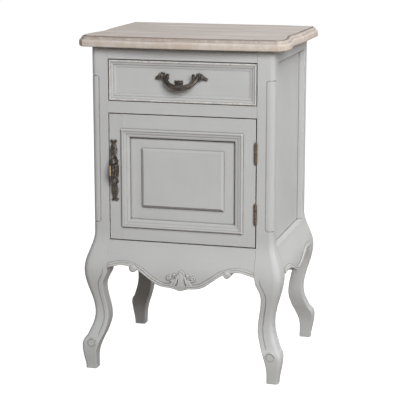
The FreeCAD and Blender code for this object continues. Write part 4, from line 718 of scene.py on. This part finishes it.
def carved_piece(name, shells, fineness, body, slot, finish, *stands_for):
    mesh = melted_skin(name, shells, fineness)
    mesh.materials.clear()
    mesh.materials.append(finish)
    piece = bpy.data.objects.new(name, mesh)
    scene.collection.objects.link(piece)
    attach(piece, body)
    if stands_for:
        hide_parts(*stands_for)


def on_drawer(x, out, rise, *sizes):
    return x, FIELD_Y - out, PULL_Z + rise, *sizes


def drawer_run(stations, side=1):
    # Stops of a run on the drawer, mirrored to the left for side -1
    return [on_drawer(side * x, *rest) for x, *rest in stations]


def drawer_pull_casting(finish):
    # Swan-neck bail: fluted bow with a crown, and at each end a leaf with crest, curl and tail
    shells = bmesh.new()
    bow = drawer_run(PULL_BOW, -1) + drawer_run(PULL_BOW[::-1])
    member(shells, bow, steps=110, sides=32, flutes=8, groove=0.08)
    for side in (-1, 1):
        drawer_pull_end(shells, side)
    drawer_pull_crown(shells)
    carved_piece("drawer_pull_casting", shells, CASTING_SKIN, "drawer", "antique_bronze", finish,
                 "drawer_pull")


def drawer_pull_end(shells, side):
    member(shells, drawer_run(PULL_STEM, side), steps=16, sides=20, outward=UPWARD)
    leaf = drawer_run(PULL_LEAF, side)
    member(shells, leaf, steps=40, sides=24, flutes=5, groove=0.10, twist=PULL_LEAF_TWIST * side)
    for x, rise, radius in PULL_CRESTS:
        crest = on_drawer(side * x, PULL_CREST_OUT, rise)
        knob(shells, crest, (radius, PULL_CREST_HALF_DEPTH, radius))
        rib = [(x + shift, *rest) for shift, *rest in PULL_RIB]
        rib.append((x, PULL_RIB_TIP_OUT, rise, *PULL_RIB_TIP_SECTION))
        member(shells, drawer_run(rib, side), steps=16, sides=12)
    member(shells, drawer_run(PULL_CURL, side), steps=24, sides=16)
    eye_x, *eye_rest = PULL_CURL_EYE
    knob(shells, on_drawer(side * eye_x, *eye_rest), PULL_CURL_EYE_RADII)


def drawer_pull_crown(shells):
    member(shells, drawer_run(PULL_CROWN), steps=24, sides=24)
    member(shells, drawer_run(PULL_RIM), steps=30, sides=16)
    for place in PULL_CROWN_KNOBS:
        knob(shells, on_drawer(*place), PULL_CROWN_KNOB_RADII)
    for place in PULL_FLUTES:
        flute = [on_drawer(place * fan, *rest) for fan, *rest in PULL_FLUTE]
        member(shells, flute, steps=14, sides=10)


def on_barrel(x, out, rise, *sizes):
    return BARREL_X + x, BARREL_Y - out, BARREL_Z + rise, *sizes


def door_pull_casting(finish):
    # Upright pull: carved barrel between two pairs of arms, and above and below a furled leaf with a curled
    # tip
    shells = bmesh.new()
    barrel = [on_barrel(0.0, 0.0, *station) for station in BARREL_SHAPE]
    member(shells, barrel, steps=40, sides=48)
    for column, rises in BARREL_BUDS:
        for rise in rises:
            knob(shells, on_barrel(column, BARREL_BUD_OUT, rise), BARREL_BUD_RADII)
    for rise in (-BARREL_COLLAR_RISE, BARREL_COLLAR_RISE):
        collar = [on_barrel(x, out, rise, across, deep) for x, out, across, deep in BARREL_COLLAR]
        member(shells, collar, steps=20, sides=14)
    for side in (-1, 1):
        door_pull_leaf(shells, side)
        for hand in (-1, 1):
            door_pull_arm(shells, side, hand)
    carved_piece("door_pull_casting", shells, CASTING_SKIN, "door", "antique_bronze", finish, "door_pull")


def door_pull_leaf(shells, side):
    # Leaf over its foot, furled like a steep cord, with a tip of curls; side is 1 for the upper one
    seat_z = GRIP_Z + side * GRIP_FOOT_RISE
    x = GRIP_X + LEAF_LEAN[0] + LEAF_LEAN[1] * side
    foot = [(GRIP_X, FRONT_Y - out, seat_z, radius, radius) for out, radius in FOOT_SHAPE]
    member(shells, foot, steps=8, sides=20, outward=UPWARD)
    knob(shells, (GRIP_X, FRONT_Y - FOOT_CAP_OUT, seat_z), FOOT_CAP_RADII)
    furl = [(x, FRONT_Y - out, seat_z + side * rise, across, deep) for rise, across, deep, out in LEAF_SHAPE]
    member(shells, furl[::side], steps=120, sides=96, flutes=LEAF_STRANDS, groove=0.13, twist=LEAF_TWIST)
    root_rise, root_out, *root_section = LEAF_CURL_ROOT
    share, short, bend_out, *bend_section = LEAF_CURL_BEND
    root = (x, FRONT_Y - root_out, seat_z + side * root_rise, *root_section)
    for hand in (-1, 1):
        for spread, lift in LEAF_CURLS:
            bend = (x + hand * share * spread, FRONT_Y - bend_out, seat_z + side * (lift - short),
                    *bend_section)
            eye = (x + hand * spread, FRONT_Y - LEAF_CURL_EYE_OUT, seat_z + side * lift)
            member(shells, [root, bend, (*eye, *LEAF_CURL_EYE_SECTION)], steps=20, sides=14)
            knob(shells, eye, LEAF_CURL_EYE_RADII)


def door_pull_arm(shells, side, hand):
    # One of the two arms that run from a leaf out to the barrel, round a drop-shaped opening
    seat_z = GRIP_Z + side * GRIP_FOOT_RISE
    arm = [(GRIP_X + x + hand * swing, FRONT_Y - out, seat_z - side * drop, radius, radius)
           for x, swing, out, drop, radius in ARM_SHAPE]
    member(shells, arm, steps=40, sides=32, flutes=5, groove=0.12, twist=ARM_TWIST)
    x, swing, out, drop = ARM_BUD
    knob(shells, (GRIP_X + x + hand * swing, FRONT_Y - out, seat_z - side * drop), ARM_BUD_RADII)


def door_pull_painted_glint(finish):
    # Brass strip down the left of the barrel, a painted reflection of the lights on its rounded edge
    shells = bmesh.new()
    edge = [on_barrel(x, GLINT_STRIP_OUT, rise, across, deep) for x, rise, across, deep in GLINT_STRIP]
    member(shells, edge, steps=30, sides=18)
    carved_piece("door_pull_painted_glint", shells, GLINT_STRIP_SKIN, "door", "antique_bronze", finish)


def knee_reach(z):
    # How far the aprons stand out over the carcass at this height
    low, high = (ANKLE, KNEE) if z <= KNEE[0] else (KNEE, KNEE_RUN_OUT)
    turn = math.pi * (z - low[0]) / (high[0] - low[0])
    return low[1] + (high[1] - low[1]) * (1 - math.cos(turn)) / 2


def on_apron(x, z, stand, *sizes):
    return x, FRONT_Y - knee_reach(z) - stand, z, *sizes


def volute(shells, eye, radius, hand, turns, thick):
    # Spiral curl on the apron that winds in to its eye
    stops = []
    for step in range(CURL_STOPS + 1):
        share = step / CURL_STOPS
        angle = math.radians(CURL_START) + hand * turns * 2 * math.pi * share
        reach = radius * (1 - CURL_TIGHTENS * share)
        size = thick * (1 - CURL_THINS * share)
        x = eye[0] + reach * math.cos(angle)
        z = eye[1] + reach * math.sin(angle)
        stops.append(on_apron(x, z, CURL_STAND + CURL_LIFT * share, size, size))
    member(shells, stops, steps=70, sides=14)
    knob(shells, on_apron(*eye, CURL_EYE_STAND), CURL_EYE_RADII)


def apron_carving(finish):
    # Bell-shaped middle leaf with a rolled top, and on each side two sweeping fronds and two curls on stems
    shells = bmesh.new()
    leaf = [on_apron(SHELL_MIDDLE, z, SHELL_LEAF_STAND, half, SHELL_LEAF_HALF_DEPTH)
            for z, half in SHELL_LEAF]
    member(shells, leaf, steps=56, sides=28)
    roll = [on_apron(SHELL_MIDDLE + x, z, stand, radius, radius) for x, z, stand, radius in SHELL_ROLL]
    member(shells, roll, steps=36, sides=14)
    for side in (-1, 1):
        for strand in SHELL_STRANDS:
            stops = [on_apron(SHELL_MIDDLE + side * x, z, 0.3 + 0.25 * half, half, 0.8 + 0.35 * half)
                     for x, z, half in strand]
            member(shells, stops, steps=40, sides=18)
        for x, z, radius, turns, thick in SHELL_CURLS:
            volute(shells, (SHELL_MIDDLE + side * x, z), radius, side, turns, thick)
    carved_piece("apron_shell_carving", shells, CARVING_SKIN, "carcass", "painted_wood", finish,
                 "apron_shell")


def scroll_drop_carving(finish):
    # Oval drop with a curl on it, under each arch of the front apron
    shells = bmesh.new()
    drop_x, drop_z = DROP_PLACE
    for side in (-1, 1):
        knob(shells, on_apron(side * drop_x, drop_z, 0.0), DROP_RADII)
        curl = []
        for step in range(DROP_CURL_STOPS):
            angle = math.radians(DROP_CURL_START + DROP_CURL_TURN * step)
            reach = 1 - DROP_CURL_TIGHTENS * step
            x = drop_x + DROP_CURL_RADII[0] * reach * math.cos(angle)
            z = drop_z + DROP_CURL_RADII[1] * reach * math.sin(angle)
            curl.append(on_apron(side * x, z, DROP_CURL_STAND + DROP_CURL_LIFT * step, *DROP_CURL_SECTION))
        member(shells, curl, steps=60, sides=12)
    carved_piece("scroll_drop_carving", shells, CARVING_SKIN, "carcass", "painted_wood", finish)


def edge_run(half_edge, inset, first, last):
    # Points along an apron's lower edge, set in from it, between two places across it
    left = [(-run, z) for run, z in reversed(half_edge[1:])]
    whole = smooth_run(left + list(half_edge), 160)
    points = []
    for before, here, after in zip(whole, whole[1:], whole[2:]):
        along = Vector((after[0] - before[0], after[1] - before[1])).normalized()
        run = here[0] - along.y * inset
        z = here[1] + along.x * inset
        if first <= run <= last:
            points.append((run, z))
    return points


def front_apron_bead(finish):
    # Two rows on each side of the shell, broken where the scroll drop sits
    shells = bmesh.new()
    spans = ((BEAD_START, DROP_PLACE[0] - DROP_HALF_GAP),
             (DROP_PLACE[0] + DROP_HALF_GAP, OPENING_HALF - BEAD_STOP_SHORT))
    for side in (-1, 1):
        for inset, thick in BEAD_ROWS:
            for span in spans:
                low, high = sorted(side * end for end in span)
                stops = [on_apron(x, z, BEAD_STAND, thick, BEAD_HALF_DEPTH)
                         for x, z in edge_run(APRON_EDGE, inset, low, high)]
                member(shells, stops, steps=2 * len(stops), sides=12)
    carved_piece("front_apron_bead", shells, BEAD_SKIN, "carcass", "painted_wood", finish)


def side_apron_bead(name, side, finish):
    shells = bmesh.new()
    reach = SIDE_HALF_LENGTH - BEAD_STOP_SHORT
    for inset, thick in BEAD_ROWS:
        stops = [(side * (HALF_WIDTH + knee_reach(z) + BEAD_STAND), SIDE_MIDDLE_Y + run, z,
                  thick, BEAD_HALF_DEPTH)
                 for run, z in edge_run(SIDE_APRON_EDGE, inset, -reach, reach)]
        member(shells, stops, steps=2 * len(stops), sides=12, outward=Vector((side, 0.0, 0.0)))
    carved_piece(name, shells, BEAD_SKIN, "carcass", "painted_wood", finish)


def give(finish, names):
    for name in names:
        nodes[name].data.materials.clear()
        nodes[name].data.materials.append(finish)


def both_sides(*names):
    return [side + "_" + name for side in ("left", "right") for name in names]


def paint_boards():
    # Brush strokes run along the length of each board
    give(painted_finish("grey_paint", "z", **BOARD_WEAR_AND_SHADE),
         both_sides("side_panel") + ["door_left_stile", "door_right_stile"])
    give(painted_finish("grey_paint", "x", **BOARD_WEAR_AND_SHADE),
         ("front_top_rail", "front_middle_rail", "front_apron", "back_top_rail", "back_bottom_rail",
          "door_top_rail", "door_bottom_rail"))
    give(painted_finish("grey_paint", "y", **BOARD_WEAR_AND_SHADE), both_sides("side_top_rail", "side_apron"))
    give(painted_finish("leg_paint", "z", **LEG_WEAR_AND_SHADE),
         ("front_left_leg", "front_right_leg", "rear_left_leg", "rear_right_leg"))
    give(painted_finish("drawer_paint", "x", **DRAWER_WEAR_AND_SHADE), ("drawer_front",))
    give(painted_finish("moulding_paint", "x", **LEVEL_MOULDING_WEAR_AND_SHADE),
         ("door_top_moulding", "door_bottom_moulding"))
    give(painted_finish("moulding_paint", "z", **UPRIGHT_MOULDING_WEAR_AND_SHADE),
         ("door_left_moulding", "door_right_moulding"))
    give(painted_finish("panel_paint", "z", **PANEL_WEAR_AND_SHADE), ("door_panel",))


def finish_bare_wood():
    give(limed_top_finish(), ("top_panel",))
    give(timber_finish("raw_wood", "y", RAW_LIGHT, RAW_DARK),
         both_sides("floor_bearer", "drawer_runner", "drawer_guide", "drawer_kicker") +
         ["drawer_left_side", "drawer_right_side"])
    give(timber_finish("raw_wood", "x", RAW_LIGHT, RAW_DARK), ("drawer_back", "drawer_stops"))
    give(timber_finish("plywood", "z", PLY_LIGHT, PLY_DARK), ("back_panel",))
    give(timber_finish("plywood", "x", PLY_LIGHT, PLY_DARK), ("cabinet_floor", "drawer_bottom"))


def finish_fittings():
    give(hinge_bronze_finish(),
         ("upper_hinge_post_leaf", "lower_hinge_post_leaf", "upper_hinge_door_leaf", "lower_hinge_door_leaf",
          "hinge_pins", "hinge_post_screws", "hinge_door_screws"))
    give(steel_finish(),
         ("back_panel_pins", "top_fixing_screws", "catch_screws", "drawer_pull_screws", "door_pull_screws",
          "strike_plate", "strike_screw"))
    give(catch_finish(), ("magnetic_catch",))


def fit_pulls():
    bronze = antique_bronze_finish()
    give(bronze, ("drawer_pull", "door_pull"))
    drawer_pull_casting(bronze)
    door_pull_casting(bronze)
    door_pull_painted_glint(glint_brass_finish())


def fit_carvings():
    across = painted_finish("carved_paint", "x", **CARVED_WEAR_AND_SHADE)
    lengthwise = painted_finish("carved_paint", "y", **CARVED_WEAR_AND_SHADE)
    give(across, ("apron_shell",))
    apron_carving(across)
    scroll_drop_carving(across)
    front_apron_bead(across)
    side_apron_bead("left_apron_bead", -1, lengthwise)
    side_apron_bead("right_apron_bead", 1, lengthwise)


def studio_floor():
    # Pale floor that looks white to the camera and softly white in the gloss of the piece
    reach = FLOOR_HALF_WIDTH
    mesh = bpy.data.meshes.new("studio_floor")
    corners = [(-reach, -reach, 0), (reach, -reach, 0), (reach, reach, 0), (-reach, reach, 0)]
    mesh.from_pydata(corners, [], [(0, 1, 2, 3)])
    floor = bpy.data.objects.new("studio_floor", mesh)
    finish, graph, surface = new_finish("studio_floor_white")
    path = graph.node("LightPath").outputs
    seen = graph.math("MULTIPLY", path["Is Camera Ray"], FLOOR_GLOW)
    mirrored = graph.math("MULTIPLY", path["Is Glossy Ray"], FLOOR_SHEEN)
    graph.fill(surface, {
        "Base Color": FLOOR_PALE,
        "Roughness": 0.9,
        "Specular IOR Level": 0.0,
        "Emission Color": WHITE,
        "Emission Strength": graph.math("ADD", seen, mirrored),
    })
    mesh.materials.append(finish)
    scene.collection.objects.link(floor)


def soft_box(name, place, width, power):
    lamp = bpy.data.lights.new(name, "AREA")
    lamp.shape = "SQUARE"
    lamp.size = width
    lamp.energy = power
    holder = bpy.data.objects.new(name, lamp)
    holder.location = place
    holder.rotation_euler = (Vector(LIGHT_AIM) - Vector(place)).to_track_quat("-Z", "Y").to_euler()
    scene.collection.objects.link(holder)


def studio_light():
    world = bpy.data.worlds.new("studio_sky")
    world.use_nodes = True
    sky = world.node_tree.nodes["Background"]
    sky.inputs["Color"].default_value = WHITE
    sky.inputs["Strength"].default_value = SKY_STRENGTH
    scene.world = world
    for name, (place, width, power) in SOFT_BOXES.items():
        soft_box(name, place, width, power)
    scene.view_settings.view_transform = "Standard"


def photo_camera():
    eye = bpy.data.cameras.new("photo_camera")
    eye.lens = CAMERA_LENS
    eye.sensor_width = SENSOR_WIDTH
    holder = bpy.data.objects.new("photo_camera", eye)
    holder.location = CAMERA_PLACE
    holder.rotation_euler = (math.radians(90.0 - VIEW_RISE), 0.0, math.radians(VIEW_TURN))
    scene.collection.objects.link(holder)
    scene.camera = holder


photo_camera()
studio_floor()
studio_light()
paint_boards()
finish_bare_wood()
finish_fittings()
fit_pulls()
fit_carvings()
